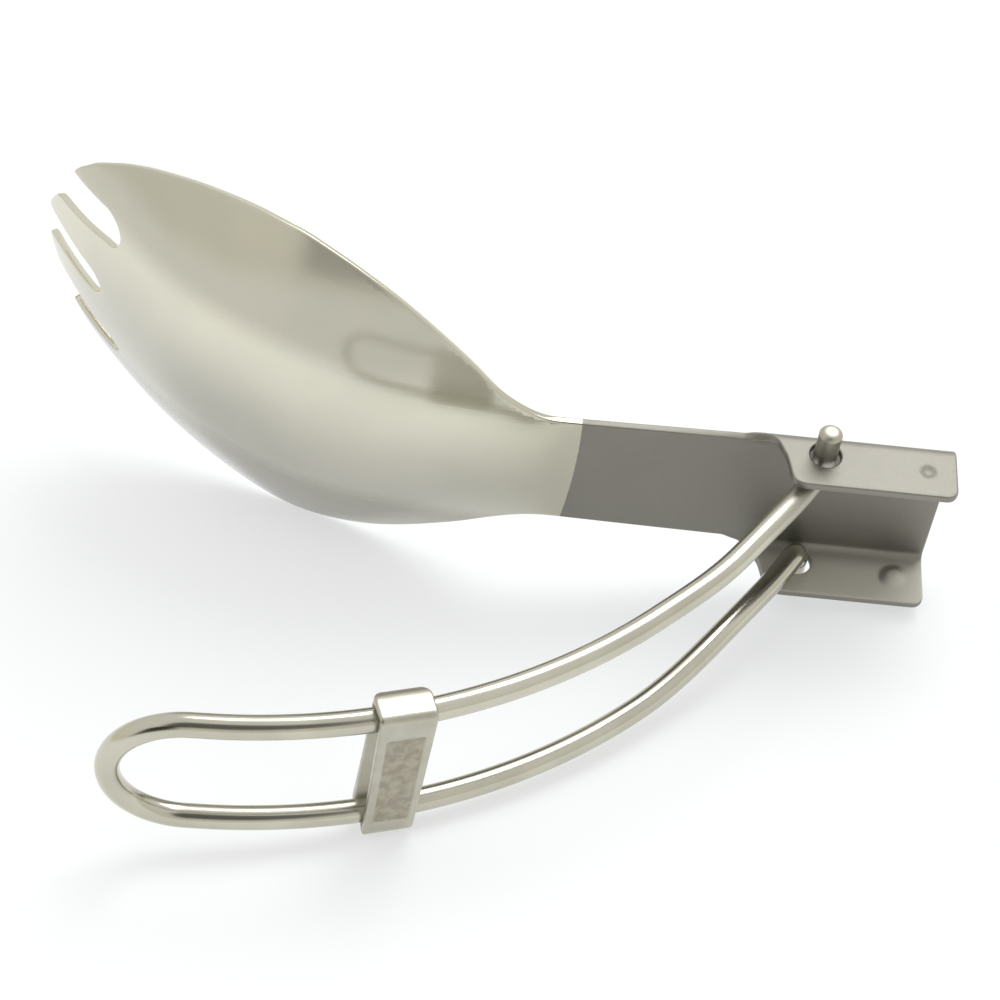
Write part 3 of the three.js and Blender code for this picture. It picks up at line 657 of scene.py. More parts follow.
def half_wire():
    """Points and radii from the end of a pin to the far end of the loop."""
    reach = CHANNEL_WIDTH / 2 + PIN_PROTRUSION
    points = [[(0, reach - back, pin_height) for back, _ in PIN_SPOTS]]
    radii = [share for _, share in PIN_SPOTS]
    place, angle, half = arm_at(0)
    heading = np.array([-math.cos(angle[0]), 0, math.sin(angle[0])])
    side = np.array([0, 1, 0])
    middle = place[0] + side * (half[0] + CORNER_BEND) + heading * CORNER_BEND
    turns = np.linspace(0, math.pi / 2, CORNER_SPOTS)[:, None]
    points.append(middle - CORNER_BEND * (heading * np.cos(turns) + side * np.sin(turns)))
    spots = int((arm_length - CORNER_BEND) / ARM_SPOT_GAP)
    distances = np.linspace(CORNER_BEND, arm_length, spots)[1:]
    place, angle, half = arm_at(distances)
    points.append(place + side * half[:, None])
    heading = np.array([-math.cos(angle[-1]), 0, math.sin(angle[-1])])
    turns = np.linspace(0, math.pi / 2, LOOP_SPOTS)[1:, None]
    points.append(place[-1] + arm_wide * (side * np.cos(turns) + heading * np.sin(turns)))
    points = np.vstack(points)
    return points, np.array(radii + [1.0] * (len(points) - len(radii)))


def wire_line():
    points, radii = half_wire()
    points = np.vstack([points, points[-2::-1] * [1, -1, 1]])
    radii = np.concatenate([radii, radii[-2::-1]])
    curve = bpy.data.curves.new("handle_wire", "CURVE")
    curve.dimensions = "3D"
    spline = curve.splines.new("POLY")
    spline.points.add(len(points) - 1)
    spline.points.foreach_set("co", np.column_stack([placed(points), np.ones(len(points))]).ravel())
    spline.points.foreach_set("radius", radii)
    line = bpy.data.objects.new("handle_wire_line", curve)
    bpy.context.scene.collection.objects.link(line)
    return line


handle_line = wire_line()
print(f"wire line: {len(handle_line.data.splines[0].points)} points")

# %% [markdown]
# ## Writing node trees as sums
# Node trees are easier to read when the maths in them looks like maths. A small class wraps a
# socket, so that plus, minus and times make the nodes. Every other kind of node comes from one
# method that takes its type, its settings and its inputs.

# %% The node helper
class Wired:
    """A socket of a node tree that can be calculated with."""

    def __init__(self, graph, socket):
        self.graph, self.socket = graph, socket

    def maths(self, operation, *others):
        inputs = dict(enumerate((self,) + others))
        return self.graph.add("ShaderNodeMath", {"operation": operation}, inputs)

    def __add__(self, other):
        return self.maths("ADD", other)

    def __sub__(self, other):
        return self.maths("SUBTRACT", other)

    def __mul__(self, other):
        return self.maths("MULTIPLY", other)

    def __truediv__(self, other):
        return self.maths("DIVIDE", other)

    def __pow__(self, other):
        return self.maths("POWER", other)

    def __neg__(self):
        return self.maths("MULTIPLY", -1)

    def __rsub__(self, other):
        return self.maths("MULTIPLY", -1) + other

    def __rtruediv__(self, other):
        return self.maths("POWER", -1) * other

    __radd__, __rmul__ = __add__, __mul__

    def step(self, low, high):
        """A soft step from 0 to 1 between two levels."""
        return self.graph.add(
            "ShaderNodeMapRange", {"interpolation_type": "SMOOTHSTEP"},
            {"Value": self, "From Min": low, "From Max": high})


class Graph:
    """A node tree that is filled by calls."""

    def __init__(self, tree):
        self.tree = tree
        tree.nodes.clear()

    def add(self, kind, settings=None, inputs=None, output=0):
        node = self.tree.nodes.new(kind)
        for name, value in (settings or {}).items():
            setattr(node, name, value)
        for name, value in (inputs or {}).items():
            if isinstance(value, Wired):
                self.tree.links.new(value.socket, node.inputs[name])
            else:
                node.inputs[name].default_value = value
        sockets = [socket for socket in node.outputs if socket.enabled]
        return Wired(self, sockets[output]) if sockets else None

    def vector(self, operation, *operands):
        return self.add(
            "ShaderNodeVectorMath", {"operation": operation}, dict(enumerate(operands)))

    def parts(self, vector):
        return [self.add("ShaderNodeSeparateXYZ", {}, {0: vector}, k) for k in range(3)]

    def noise(self, vector, scale, detail=2.0, roughness=0.5):
        return self.add(
            "ShaderNodeTexNoise", {},
            {"Vector": vector, "Scale": scale, "Detail": detail, "Roughness": roughness})

    def colour(self, factor, low, high):
        mixed = self.add("ShaderNodeMix", {"data_type": "RGBA"})
        node = mixed.socket.node
        self.tree.links.new(factor.socket, node.inputs["Factor"])
        for socket, value in zip([s for s in node.inputs if s.type == "RGBA"], (low, high)):
            if isinstance(value, Wired):
                self.tree.links.new(value.socket, socket)
            else:
                socket.default_value = (*value, 1)
        return mixed


def material_graph(name):
    material = bpy.data.materials.new(name)
    material.use_nodes = True
    return material, Graph(material.node_tree)


def finish_metal(graph, base, roughness, height, depth, metallic=1):
    """Close a metal: colour, roughness and a height in metres for the bump."""
    bump = graph.add("ShaderNodeBump", {}, {"Strength": 1, "Distance": depth, "Height": height})
    metal = graph.add("ShaderNodeBsdfPrincipled", {}, {
        "Base Color": base, "Metallic": metallic, "Roughness": roughness, "Normal": bump})
    graph.add("ShaderNodeOutputMaterial", {}, {"Surface": metal})


print("node helper ready")

# %% [markdown]
# ## Sweep the wire
# The tree has named inputs for the line, the wire's radius, the number of sides and the
# material. Edges that bend more than a set angle stay crisp, so that the bevelled pin ends are
# clear. The tree ends in Realize Instances and Set Material, and its result is kept as a plain
# mesh, because an export drops whatever is only an instance.

# %% Node tree for the wire
CRISP_ANGLE = 0.45


def sweep_tree():
    tree = bpy.data.node_groups.new("sweep_wire", "GeometryNodeTree")
    face = tree.interface
    face.new_socket("Line", in_out="INPUT", socket_type="NodeSocketGeometry")
    face.new_socket("Wire Radius", in_out="INPUT", socket_type="NodeSocketFloat")
    face.new_socket("Sides", in_out="INPUT", socket_type="NodeSocketInt")
    face.new_socket("Metal", in_out="INPUT", socket_type="NodeSocketMaterial")
    face.new_socket("Swept", in_out="OUTPUT", socket_type="NodeSocketGeometry")
    graph = Graph(tree)
    line = graph.add("NodeGroupInput")
    given = {socket.name: Wired(graph, socket) for socket in line.socket.node.outputs}
    run = graph.add("GeometryNodeSplineParameter", {}, {}, 1)
    path = graph.add(
        "GeometryNodeStoreNamedAttribute", {"data_type": "FLOAT", "domain": "POINT"},
        {"Geometry": given["Line"], "Name": "run", "Value": run})
    circle = graph.add(
        "GeometryNodeCurvePrimitiveCircle", {},
        {"Resolution": given["Sides"], "Radius": given["Wire Radius"]})
    spot = graph.add("GeometryNodeInputPosition")
    section = graph.add(
        "GeometryNodeStoreNamedAttribute", {"data_type": "FLOAT_VECTOR", "domain": "POINT"},
        {"Geometry": circle, "Name": "section", "Value": spot})
    radius = graph.add("GeometryNodeInputRadius")
    swept = graph.add(
        "GeometryNodeCurveToMesh", {},
        {"Curve": path, "Profile Curve": section, "Scale": radius, "Fill Caps": True})
    bend = graph.add("GeometryNodeInputMeshEdgeAngle")
    smooth = graph.add(
        "GeometryNodeSetShadeSmooth", {"domain": "EDGE"},
        {"Geometry": swept, "Shade Smooth": bend.maths("LESS_THAN", CRISP_ANGLE)})
    real = graph.add("GeometryNodeRealizeInstances", {}, {"Geometry": smooth})
    dressed = graph.add(
        "GeometryNodeSetMaterial", {}, {"Geometry": real, "Material": given["Metal"]})
    graph.add("NodeGroupOutput", {}, {"Swept": dressed})
    return tree


WIRE_SIDES = 48


def swept_piece(line, name, settings):
    """The mesh that the tree makes of a line, as a plain piece."""
    tree = sweep_tree()
    modifier = line.modifiers.new("sweep", "NODES")
    modifier.node_group = tree
    for item in tree.interface.items_tree:
        if item.name in settings:
            modifier[item.identifier] = settings[item.name]
    shape = line.evaluated_get(bpy.context.evaluated_depsgraph_get())
    mesh = bpy.data.meshes.new_from_object(shape)
    line.modifiers.clear()
    bpy.data.objects.remove(line)
    piece = bpy.data.objects.new(name, mesh)
    bpy.context.scene.collection.objects.link(piece)
    return piece


wire_metal, wire_graph = material_graph("wire_metal")
handle_wire = swept_piece(
    handle_line, "handle_wire",
    {"Wire Radius": wire_radius * MM, "Sides": WIRE_SIDES, "Metal": wire_metal})
print(f"wire: {len(handle_wire.data.polygons)} faces,", list(handle_wire.data.attributes.keys()))

# %% [markdown]
# ## The collar
# The collar is a flat band round both arms. Its wall section, a bar with rounded edges, is led
# round a long loop. The loop runs straight along the face and the back, turns tightly where the
# face meets the upper end, and more gently at the three other places. The band's own corners
# are rounded, and it widens a little towards the upper end. A shallow panel is sunk into the
# face that looks away from the bow's centre, so the straight runs have many spots. A box with
# a hole cut through would need its edges bevelled one by one, while a section led round a loop
# rounds them all alike. Each point also keeps one number for the metal: 1 in the panel, -1 on
# the inner surface, 0 elsewhere.

# %% Net of the collar
COLLAR_TURN_SPOTS = 20
COLLAR_STRAIGHT_SPOTS = 76
COLLAR_MIDDLE_GAP = 0.05
COLLAR_FACE_SPOTS = 48
COLLAR_EDGE_SPOTS = 6
PANEL_CORNER = 0.5
STRAIGHT_UP = 0.999
COLLAR_FRONT_TURN = 0.1
COLLAR_REAR_TURN = 1.45
COLLAR_TAPER = 0.06
COLLAR_REAR_CORNER = 1.9
hole_half_thickness = wire_radius + COLLAR_CLEARANCE
hole_half_width = arm_wide + wire_radius + COLLAR_SIDE_CLEARANCE


def half_path(front):
    """The inner surface from the middle of the face round one end, with its outward way."""
    rear = COLLAR_REAR_TURN
    reach = np.linspace(COLLAR_MIDDLE_GAP, hole_half_width - front, COLLAR_STRAIGHT_SPOTS)[:-1]
    spots = [np.column_stack([reach, np.full(len(reach), hole_half_thickness)])]
    ways = [np.tile([0.0, 1.0], (len(reach), 1))]
    for radius, height, start in ((front, hole_half_thickness - front, 90),
                                  (rear, rear - hole_half_thickness, 0)):
        turns = np.radians(np.linspace(start, start - 90, COLLAR_TURN_SPOTS))
        way = np.column_stack([np.cos(turns), np.sin(turns)])
        spots.append(way * radius + [hole_half_width - radius, height])
        ways.append(way)
    return np.vstack(spots), np.vstack(ways)


def collar_path():
    """Points of the band's inner surface, with the outward direction at each."""
    low_spots, low_ways = half_path(COLLAR_REAR_TURN)
    high_spots, high_ways = half_path(COLLAR_FRONT_TURN)
    flip = np.array([-1, 1])
    return (np.vstack([low_spots * flip, high_spots[::-1]]),
            np.vstack([low_ways * flip, high_ways[::-1]]))


def wall_section():
    """Height over the inner surface and place along the arms, once round the wall."""
    long_half, corner = COLLAR_LENGTH / 2, COLLAR_EDGE
    face = np.linspace(corner - long_half, long_half - corner, COLLAR_FACE_SPOTS)
    turns = np.radians(np.linspace(90, 0, COLLAR_EDGE_SPOTS)[1:])
    rear = np.column_stack([
        COLLAR_WALL - corner + corner * np.sin(turns), long_half - corner + corner * np.cos(turns)])
    front = rear[::-1] * [-1, 1] + [COLLAR_WALL, 0]
    upper = np.column_stack([np.full(len(face), COLLAR_WALL), face])
    half = np.vstack([upper, rear, front])
    lower = half * [-1, -1] + [COLLAR_WALL, 0]
    return np.vstack([half, lower[1:-1]])


def end_share(across_place, depth_place):
    """How much of the band's length is left near its rounded corners."""
    half_wide, half_long = hole_half_width + COLLAR_WALL, COLLAR_LENGTH / 2
    into = np.clip(np.abs(across_place) - half_wide + COLLAR_CORNER, 0, COLLAR_CORNER)
    left = half_long - COLLAR_CORNER + np.sqrt(COLLAR_CORNER ** 2 - into ** 2)
    rear = np.clip(COLLAR_REAR_CORNER - depth_place - hole_half_thickness - COLLAR_WALL,
                   0, COLLAR_REAR_CORNER)
    rear_left = half_long - COLLAR_REAR_CORNER + np.sqrt(COLLAR_REAR_CORNER ** 2 - rear ** 2)
    at_end = np.clip((across_place - half_wide + 2 * COLLAR_CORNER) / COLLAR_CORNER, 0, 1)
    share = np.where(across_place > 0, mix(1, rear_left / half_long, at_end), left / half_long)
    return share * (1 + COLLAR_TAPER * across_place / half_wide)


def panel_sink(across_place, along_place):
    """How deep the panel is sunk at places of the outer face."""
    half_long, half_wide = PANEL_WIDTH / 2, COLLAR_LENGTH / 2 - PANEL_MARGIN
    x = np.abs(across_place) - half_long + PANEL_CORNER
    z = np.abs(along_place) - half_wide + PANEL_CORNER
    beyond = np.hypot(np.maximum(x, 0), np.maximum(z, 0)) + np.minimum(np.maximum(x, z), 0)
    share = np.clip((PANEL_CORNER - beyond) / PANEL_SLOPE, 0, 1)
    return PANEL_DEPTH * share * share * (3 - 2 * share)


def collar_mesh():
    """Places and faces of the band, and the number of each point for its metal."""
    path, out = collar_path()
    wall = wall_section()
    points, sunk = [], []
    for spot, way in zip(path, out):
        ring = np.zeros((len(wall), 3))
        sink = np.zeros(len(wall))
        hidden = wall[:, 0] < COLLAR_WALL / 4
        ring[:, :2] = spot + wall[:, :1] * way
        ring[:, 2] = wall[:, 1]
        if way[1] > STRAIGHT_UP:
            on_face = wall[:, 0] > COLLAR_WALL - COLLAR_EDGE / 2
            sink = panel_sink(ring[:, 0], ring[:, 2]) * on_face
        ring[:, 1] -= sink
        ring[:, 2] *= end_share(ring[:, 0], ring[:, 1])
        points.append(ring)
        sunk.append(sink / PANEL_DEPTH - hidden)
    local = np.vstack(points)
    rows, columns = len(path), len(wall)
    faces = []
    for j in range(rows):
        n = (j + 1) % rows
        for k in range(columns):
            m = (k + 1) % columns
            faces.append((j * columns + k, n * columns + k, n * columns + m, j * columns + m))
    place, angle, _ = arm_at(COLLAR_POSITION)
    side = np.array([0, 1, 0])
    face_way = np.array([math.sin(angle[0]), 0, math.cos(angle[0])])
    back = np.cross(side, face_way)
    skew = math.radians(COLLAR_SKEW)
    skewed_side = side * math.cos(skew) + back * math.sin(skew)
    skewed_back = back * math.cos(skew) - side * math.sin(skew)
    laid = (place[0] + local[:, :1] * skewed_side + local[:, 1:2] * face_way
            + local[:, 2:] * skewed_back)
    return placed(laid), faces, np.concatenate(sunk)


collar_places, collar_faces, collar_sunk = collar_mesh()
collar_band = add_mesh("collar_band", collar_places, collar_faces)
add_amount(collar_band, "sunk", collar_sunk)
print(f"collar: {len(collar_band.data.polygons)} faces")

# %% [markdown]
# ## The metals
# All three pieces are titanium. The bowl is polished and reflects the room softly, the neck and
# the channel are left matte from blasting, and a sharp line where the polishing wheel stopped
# parts them. Towards the neck the polished colour is darkened, a painted shade for the darker
# reflections there. The number that each point of the sheet keeps is 1 on the side that the
# flanges are bent to and -1 on the other, so the flanges' inner faces can be told apart: they are
# duller and less metallic, and their lighter colour is painted light for the light they catch.
# A darker crescent round the foot of each bump there is painted shade. A picture of metal could
# be wrapped round each piece, but noise needs no file and stays sharp from close by. Lengths in
# the trees are in metres on the Object coordinates, and in millimetres on the blank's own map.
# Where a metal has two colours, they are its lighter and darker clouds.

# %% Metal of the sheet
CLOUD_BAND = (0.3, 0.7)
POLISH_END = -25.7
POLISH_TILT = 0.04
POLISH_BULGE = 0.33
POLISH_WOBBLE = 0.08
POLISH_BLUR = 0.05
# where the painted shade on the polished neck begins, and how strong it is
NECK_SHADE_START = -42
NECK_SHADE_SHARE = 0.9
FLANGE_SIDE = (0.6, 0.9)
# ring and lean of the painted shade round the bumps
FOOT_START = (0.5, 1.2)
FOOT_END = (1.5, 2.0)
FOOT_LEAN = (-0.6, 1.4)
BUMP_SHADE_SHARE = 0.75
CLOUDS, WOBBLES, GRAINS = 60, 900, 5200
STREAK_STRETCH = (0.05, 2.2, 1)
HAIRLINE_STRETCH = (0.25, 14, 1)
SHINE, SHINE_STREAK, SHINE_HAIRLINE = 0.1, 0.05, 0.03
DULL, DULL_GRAIN, DULL_INNER = 0.46, 0.1, 0.25
HAIRLINE_HEIGHT, STREAK_HEIGHT, GRAIN_HEIGHT = 0.1, 0.35, 2.2
INNER_DIFFUSE_SHARE = 0.7
SHEET_BUMP = 0.000012
POLISHED = (0.61, 0.59, 0.505), (0.56, 0.545, 0.47)
# painted shade: darker polished colour towards the neck, for darker reflections there
NECK_SHADE_PAINT = (0.45, 0.44, 0.36)
BLASTED = (0.262, 0.253, 0.225), (0.238, 0.23, 0.205)
# painted light: lighter colour of the flanges' inner faces, for the light they catch
LIT_INNER_PAINT = (0.56, 0.545, 0.49), (0.51, 0.495, 0.445)
# painted shade: dark crescent at the foot of each bump on the flanges' inner faces
BUMP_SHADE_PAINT = (0.11, 0.105, 0.09)


def clouded(graph, cloud, colours):
    """A colour that wanders between a lighter and a darker one."""
    return graph.colour(cloud.step(*CLOUD_BAND), *colours)


def painted_bump_shade(along_sheet, away, flange_side):
    """Painted shade round each bump's foot, on its side towards the neck and channel floor."""
    dimple_x, dimple_y = (along_sheet - DIMPLE_DISTANCE), (away - dimple_centres[0][1])
    beside = (dimple_x * dimple_x + dimple_y * dimple_y) ** 0.5
    foot = beside.step(*FOOT_START) * (1 - beside.step(*FOOT_END)) * flange_side
    return foot * (-dimple_x - dimple_y).step(*FOOT_LEAN)


def dress_sheet():
    metal, graph = material_graph("sheet_metal")
    place = graph.add("ShaderNodeTexCoord", {}, {}, 3)
    blank = graph.add("ShaderNodeUVMap", {"uv_map": "blank"})
    along_sheet, reach, _ = graph.parts(blank)
    share = reach / (NECK_BOWL_WIDTH / 2)
    border = POLISH_END + POLISH_TILT * reach + POLISH_BULGE * (1 - share * share)
    wobble = graph.noise(place, WOBBLES, 3)
    past = along_sheet - border + POLISH_WOBBLE * (wobble - 0.5)
    matte = past.step(-POLISH_BLUR, POLISH_BLUR)
    cloud = graph.noise(place, CLOUDS, 3)
    streak = graph.noise(graph.vector("MULTIPLY", blank, STREAK_STRETCH), 1, 4, 0.6)
    hairline = graph.noise(graph.vector("MULTIPLY", blank, HAIRLINE_STRETCH), 1, 3, 0.6)
    grain = graph.noise(place, GRAINS, 3, 0.6)
    side = graph.add("ShaderNodeAttribute", {"attribute_name": "side"}, {}, 2)
    flange_side = side.step(*FLANGE_SIDE)
    away = reach.maths("ABSOLUTE")
    inner = away.step(flat_half, flat_half + 2 * bend_length) * flange_side
    # painted shade: the polished colour darkens towards the neck
    neck_shade = NECK_SHADE_SHARE * along_sheet.step(NECK_SHADE_START, POLISH_END)
    polished = graph.colour(neck_shade, clouded(graph, cloud, POLISHED), NECK_SHADE_PAINT)
    blasted = clouded(graph, cloud, BLASTED)
    # painted light on the flanges' inner faces
    lit_inner = clouded(graph, cloud, LIT_INNER_PAINT)
    base = graph.colour(matte, polished, graph.colour(inner, blasted, lit_inner))
    # painted shade round the bumps' feet, towards the neck and the channel floor
    base = graph.colour(BUMP_SHADE_SHARE * painted_bump_shade(along_sheet, away, flange_side), base, BUMP_SHADE_PAINT)
    shine = SHINE + SHINE_STREAK * streak + SHINE_HAIRLINE * hairline
    dull = DULL + DULL_GRAIN * grain + DULL_INNER * inner
    roughness = shine + (dull - shine) * matte
    lines = hairline * HAIRLINE_HEIGHT + streak * STREAK_HEIGHT
    height = lines * (1 - matte) + grain * GRAIN_HEIGHT * matte
    finish_metal(graph, base, roughness, height, SHEET_BUMP, 1 - INNER_DIFFUSE_SHARE * inner)
    return metal


sheet_metal = dress_sheet()
spork_sheet.data.materials.append(sheet_metal)
print("sheet metal:", len(sheet_metal.node_tree.nodes), "nodes")

# %% Metal of the wire
DIE_LINES_AROUND, DIE_LINES_ALONG = 3200, 60
BROAD_LINES = 0.35
WIRE_CLOUDS = 140
LINE_HEIGHT = 0.6
WIRE_SHINE, WIRE_SHINE_LINE, WIRE_SHINE_CLOUD, PIN_DULL = 0.14, 0.08, 0.05, 0.22
PIN_RUN = (0.48, 0.488)
WIRE_BUMP = 0.000015
DRAWN = (0.515, 0.50, 0.43), (0.45, 0.435, 0.375)
PIN_END = (0.42, 0.405, 0.35)


def dress_wire(graph):
    section = graph.add("ShaderNodeAttribute", {"attribute_name": "section"}, {}, 1)
    run = graph.add("ShaderNodeAttribute", {"attribute_name": "run"}, {}, 2)
    place = graph.add("ShaderNodeTexCoord", {}, {}, 3)
    around_x, around_y, _ = graph.parts(section)
    drawn = graph.add("ShaderNodeCombineXYZ", {}, {
        "X": around_x * DIE_LINES_AROUND, "Y": around_y * DIE_LINES_AROUND,
        "Z": run * DIE_LINES_ALONG})
    line = graph.noise(drawn, 1, 4, 0.65)
    broad = graph.noise(drawn, BROAD_LINES, 2)
    cloud = graph.noise(place, WIRE_CLOUDS, 3)
    pin = (run - 0.5).maths("ABSOLUTE").step(*PIN_RUN)
    base = graph.colour(pin, clouded(graph, cloud, DRAWN), PIN_END)
    roughness = WIRE_SHINE + WIRE_SHINE_LINE * line + WIRE_SHINE_CLOUD * cloud + PIN_DULL * pin
    finish_metal(graph, base, roughness, line * LINE_HEIGHT + broad, WIRE_BUMP)


dress_wire(wire_graph)
print("wire metal:", len(wire_metal.node_tree.nodes), "nodes")

# %% Metal of the collar
RUB_CLOUDS, STAINS, COLLAR_GRAINS = 420, 900, 3600
BRUSH_STRETCH = (500, 500, 5200)
STAIN_BAND = (0.35, 0.65)
COLLAR_SHINE, CLOUD_DULL, GRAIN_DULL, SUNK_DULL, HOLLOW_DULL = 0.26, 0.1, 0.08, 0.14, 0.3
BRUSH_HEIGHT, STAIN_HEIGHT = 0.6, 3
UNTOUCHED_SHARE = 0.85
COLLAR_BUMP = 0.00001
RUBBED = (0.47, 0.455, 0.395), (0.42, 0.405, 0.345)
ETCHED = (0.41, 0.385, 0.315), (0.31, 0.285, 0.23)
UNTOUCHED = (0.84, 0.83, 0.76), (0.78, 0.77, 0.70)


def dress_collar():
    metal, graph = material_graph("collar_metal")
    place = graph.add("ShaderNodeTexCoord", {}, {}, 3)
    level = graph.add("ShaderNodeAttribute", {"attribute_name": "sunk"}, {}, 2)
    sunk, hollow = level.step(0, 1), (-level).step(0, 1)
    cloud = graph.noise(place, RUB_CLOUDS, 4, 0.6)
    stain = graph.noise(place, STAINS, 3, 0.55)
    grain = graph.noise(place, COLLAR_GRAINS, 3, 0.6)
    brushed = graph.noise(graph.vector("MULTIPLY", place, BRUSH_STRETCH), 1, 3, 0.6)
    etched = graph.colour(stain.step(*STAIN_BAND), *ETCHED)
    outer = graph.colour(sunk, clouded(graph, cloud, RUBBED), etched)
    base = graph.colour(hollow, outer, clouded(graph, cloud, UNTOUCHED))
    roughness = (COLLAR_SHINE + CLOUD_DULL * cloud + GRAIN_DULL * grain
                 + SUNK_DULL * sunk + HOLLOW_DULL * hollow)
    height = grain + brushed * BRUSH_HEIGHT + stain * STAIN_HEIGHT * sunk
    finish_metal(graph, base, roughness, height, COLLAR_BUMP, 1 - UNTOUCHED_SHARE * hollow)
    return metal


collar_metal = dress_collar()
collar_band.data.materials.append(collar_metal)
print("collar metal:", len(collar_metal.node_tree.nodes), "nodes")

# %% [markdown]
# ## The studio
# The table is white and lights itself a little for the camera and for the metal's reflections,
# so that it stays almost white and still takes the soft shadow. Stronger lamps could whiten it
# too, but they would wash out the metal. A polished bowl shows the whole room, so a few things
# are there for the reflections alone: the table mirrors darker under the bowl and warmer far
# away, a dark card stands to the left of the camera and gives the bowl its brown patch, and the
# pale room has one dim spot in front, where the camera stands.

# %% Floor, room and lights
TABLE_GLOW = (0.53, 0.54, 0.545)
MIRRORED_NEAR = (0.70, 0.705, 0.68)
MIRRORED_SHADE = (0.46, 0.47, 0.50)
MIRRORED_FAR = (0.47, 0.45, 0.33)
SHADE_CENTRE = (-0.01, 0.035, 0)
ROOM_LOW = (0.92, 0.90, 0.74)
ROOM_HIGH = (1.02, 1.01, 0.98)
BACKDROP = (0.955, 0.965, 0.965)
FLAG_AZIMUTH = -30
FLAG_DISTANCE = 0.45
FLAG_HALF_WIDTH = 0.16
FLAG_HALF_HEIGHT = 0.15
FLAG_SHARP, FLAG_SOFT_SIDE, FLAG_SOFT_TOP = 0.03, 0.08, 0.06
FLAG_BROWN = (0.03, 0.018, 0.014, 1)
TABLE_WHITE = (0.415, 0.42, 0.43, 1)
TABLE_HALF = 3.0
SHADE_STRETCH = (0.5, 1, 1)
SHADE_REACH = (0.02, 0.055)
FAR_REACH = (0.24, 0.46)
ROOM_RISE = (0, 0.5)
DIM_SPOT = (0.88, 0.95)
DIM_SHARE = 0.85
SOFTBOX_PLACE = (0.25, 0.35, 0.7)
SOFTBOX_SIZE = 0.5
SOFTBOX_POWER = 3.0


def add_floor():
    """The white table, with its own glow for what the camera and the metal see of it."""
    material, graph = material_graph("table_white")
    ray = graph.add("ShaderNodeLightPath")
    camera_ray, glossy_ray, glass_ray = (
        Wired(graph, ray.socket.node.outputs[name]) for name in
        ("Is Camera Ray", "Is Glossy Ray", "Is Transmission Ray"))
    seen_any = camera_ray.maths("MAXIMUM", glossy_ray).maths("MAXIMUM", glass_ray)
    place = graph.add("ShaderNodeTexCoord", {}, {}, 3)
    away = graph.vector("LENGTH", place)
    beside = graph.vector("SUBTRACT", place, SHADE_CENTRE)
    shaded = graph.vector("LENGTH", graph.vector("MULTIPLY", beside, SHADE_STRETCH))
    mirrored = graph.colour(shaded.step(*SHADE_REACH), MIRRORED_SHADE, MIRRORED_NEAR)
    mirrored = graph.colour(away.step(*FAR_REACH), mirrored, MIRRORED_FAR)
    glow_colour = graph.colour(glossy_ray, TABLE_GLOW, mirrored)
    matte = graph.add("ShaderNodeBsdfDiffuse", {}, {"Color": TABLE_WHITE})
    glow = graph.add("ShaderNodeEmission", {}, {"Color": glow_colour, "Strength": 1})
    none = graph.add("ShaderNodeEmission", {}, {"Strength": 0})
    lift = graph.add("ShaderNodeMixShader", {}, {0: seen_any, 1: none, 2: glow})
    both = graph.add("ShaderNodeAddShader", {}, {0: matte, 1: lift})
    graph.add("ShaderNodeOutputMaterial", {}, {"Surface": both})
    return add_flat("floor", TABLE_HALF, TABLE_HALF, material)


def add_flat(name, half_x, half_y, material):
    mesh = bpy.data.meshes.new(name)
    mesh.from_pydata(
        [(-half_x, -half_y, 0), (half_x, -half_y, 0), (half_x, half_y, 0), (-half_x, half_y, 0)],
        [], [(0, 1, 2, 3)])
    mesh.materials.append(material)
    flat = bpy.data.objects.new(name, mesh)
    bpy.context.scene.collection.objects.link(flat)
    return flat


def add_flag():
    """A dark card that only the polished metal sees."""
    material, graph = material_graph("flag_brown")
    place = graph.add("ShaderNodeTexCoord", {}, {}, 3)
    across_card, up_card, _ = graph.parts(place)
    cover = ((across_card + FLAG_HALF_WIDTH).step(0, FLAG_SHARP)
             * (FLAG_HALF_WIDTH - across_card).step(0, FLAG_SOFT_SIDE)
             * (up_card + FLAG_HALF_HEIGHT).step(0, FLAG_SHARP)
             * (FLAG_HALF_HEIGHT - up_card).step(0, FLAG_SOFT_TOP))
    clear = graph.add("ShaderNodeBsdfTransparent")
    dark = graph.add("ShaderNodeEmission", {}, {"Color": FLAG_BROWN, "Strength": 1})
    both = graph.add("ShaderNodeMixShader", {}, {0: cover, 1: clear, 2: dark})
    graph.add("ShaderNodeOutputMaterial", {}, {"Surface": both})
    card = add_flat("flag", FLAG_HALF_WIDTH, FLAG_HALF_HEIGHT, material)
    turn = math.radians(FLAG_AZIMUTH)
    stand = Vector((
        FLAG_DISTANCE * math.sin(turn), -FLAG_DISTANCE * math.cos(turn), FLAG_HALF_HEIGHT))
    facing_middle = (Vector((0, 0, stand.z)) - stand).to_track_quat("Z", "Y")
    card.matrix_world = Matrix.Translation(stand) @ facing_middle.to_matrix().to_4x4()
    card.visible_camera = False
    card.visible_diffuse = False
    card.visible_transmission = False
    card.visible_shadow = False
    return card


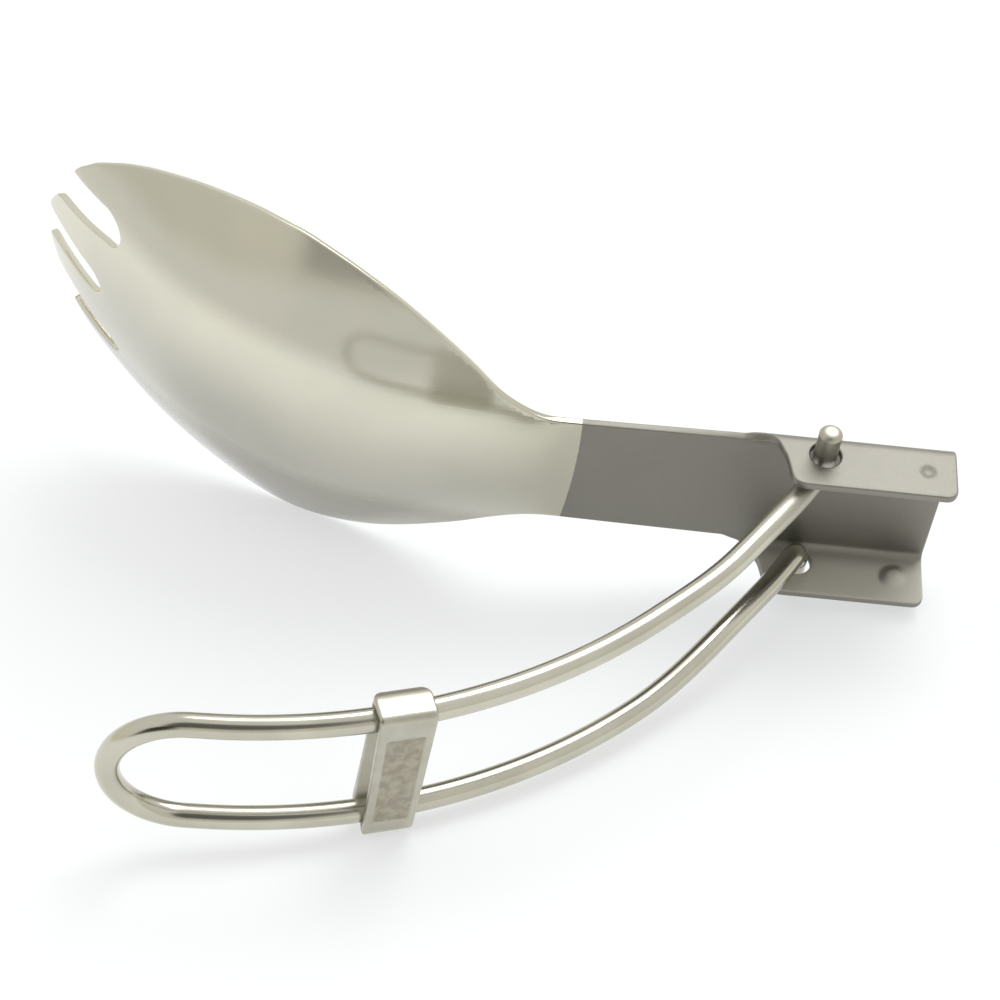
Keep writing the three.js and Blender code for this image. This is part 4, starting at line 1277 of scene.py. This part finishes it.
def add_room():
    """The pale room: a plain backdrop for the camera, and what lights the pieces."""
    world = bpy.data.worlds.new("room")
    world.use_nodes = True
    graph = Graph(world.node_tree)
    way = graph.add("ShaderNodeTexCoord", {}, {}, 0)
    _, _, height = graph.parts(way)
    colour = graph.colour(height.step(*ROOM_RISE), ROOM_LOW, ROOM_HIGH)
    watcher = tuple(camera.matrix_world.translation.normalized())
    facing_it = graph.add(
        "ShaderNodeVectorMath", {"operation": "DOT_PRODUCT"}, {0: way, 1: watcher}, 0)
    level = 1 - DIM_SHARE * facing_it.step(*DIM_SPOT)
    ray = graph.add("ShaderNodeLightPath")
    camera_ray = Wired(graph, ray.socket.node.outputs["Is Camera Ray"])
    lit = graph.add("ShaderNodeVectorMath", {"operation": "SCALE"}, {0: colour, 3: level})
    shown = graph.colour(camera_ray, lit, BACKDROP)
    glow = graph.add("ShaderNodeBackground", {}, {"Color": shown, "Strength": 1})
    graph.add("ShaderNodeOutputWorld", {}, {"Surface": glow})
    bpy.context.scene.world = world


def add_softbox(name, place, size, power):
    data = bpy.data.lights.new(name, "AREA")
    data.shape = "SQUARE"
    data.size = size
    data.energy = power
    box = bpy.data.objects.new(name, data)
    bpy.context.scene.collection.objects.link(box)
    aim = (Vector(VIEW_TARGET) * MM - Vector(place)).to_track_quat("-Z", "Y")
    box.matrix_world = Matrix.Translation(place) @ aim.to_matrix().to_4x4()
    return box


floor = add_floor()
flag = add_flag()
add_room()
softboxes = [add_softbox("softbox_above", SOFTBOX_PLACE, SOFTBOX_SIZE, SOFTBOX_POWER)]
bpy.context.scene.view_settings.view_transform = "Standard"
print("softboxes:", len(softboxes))

# %% [markdown]
# ## Hand over the pieces
# Each piece rides on the body that carries its solid, and the solid is hidden, so that the piece
# takes its place in the picture.

# %% Ride and replace
for piece, node, body, slot in (
        (spork_sheet, "spork_body", "spork", "body_sheet"),
        (handle_wire, "wire_handle", "handle", "handle_wire"),
        (collar_band, "lock_collar", "collar", "collar_metal")):
    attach(piece, body)
    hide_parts(node)
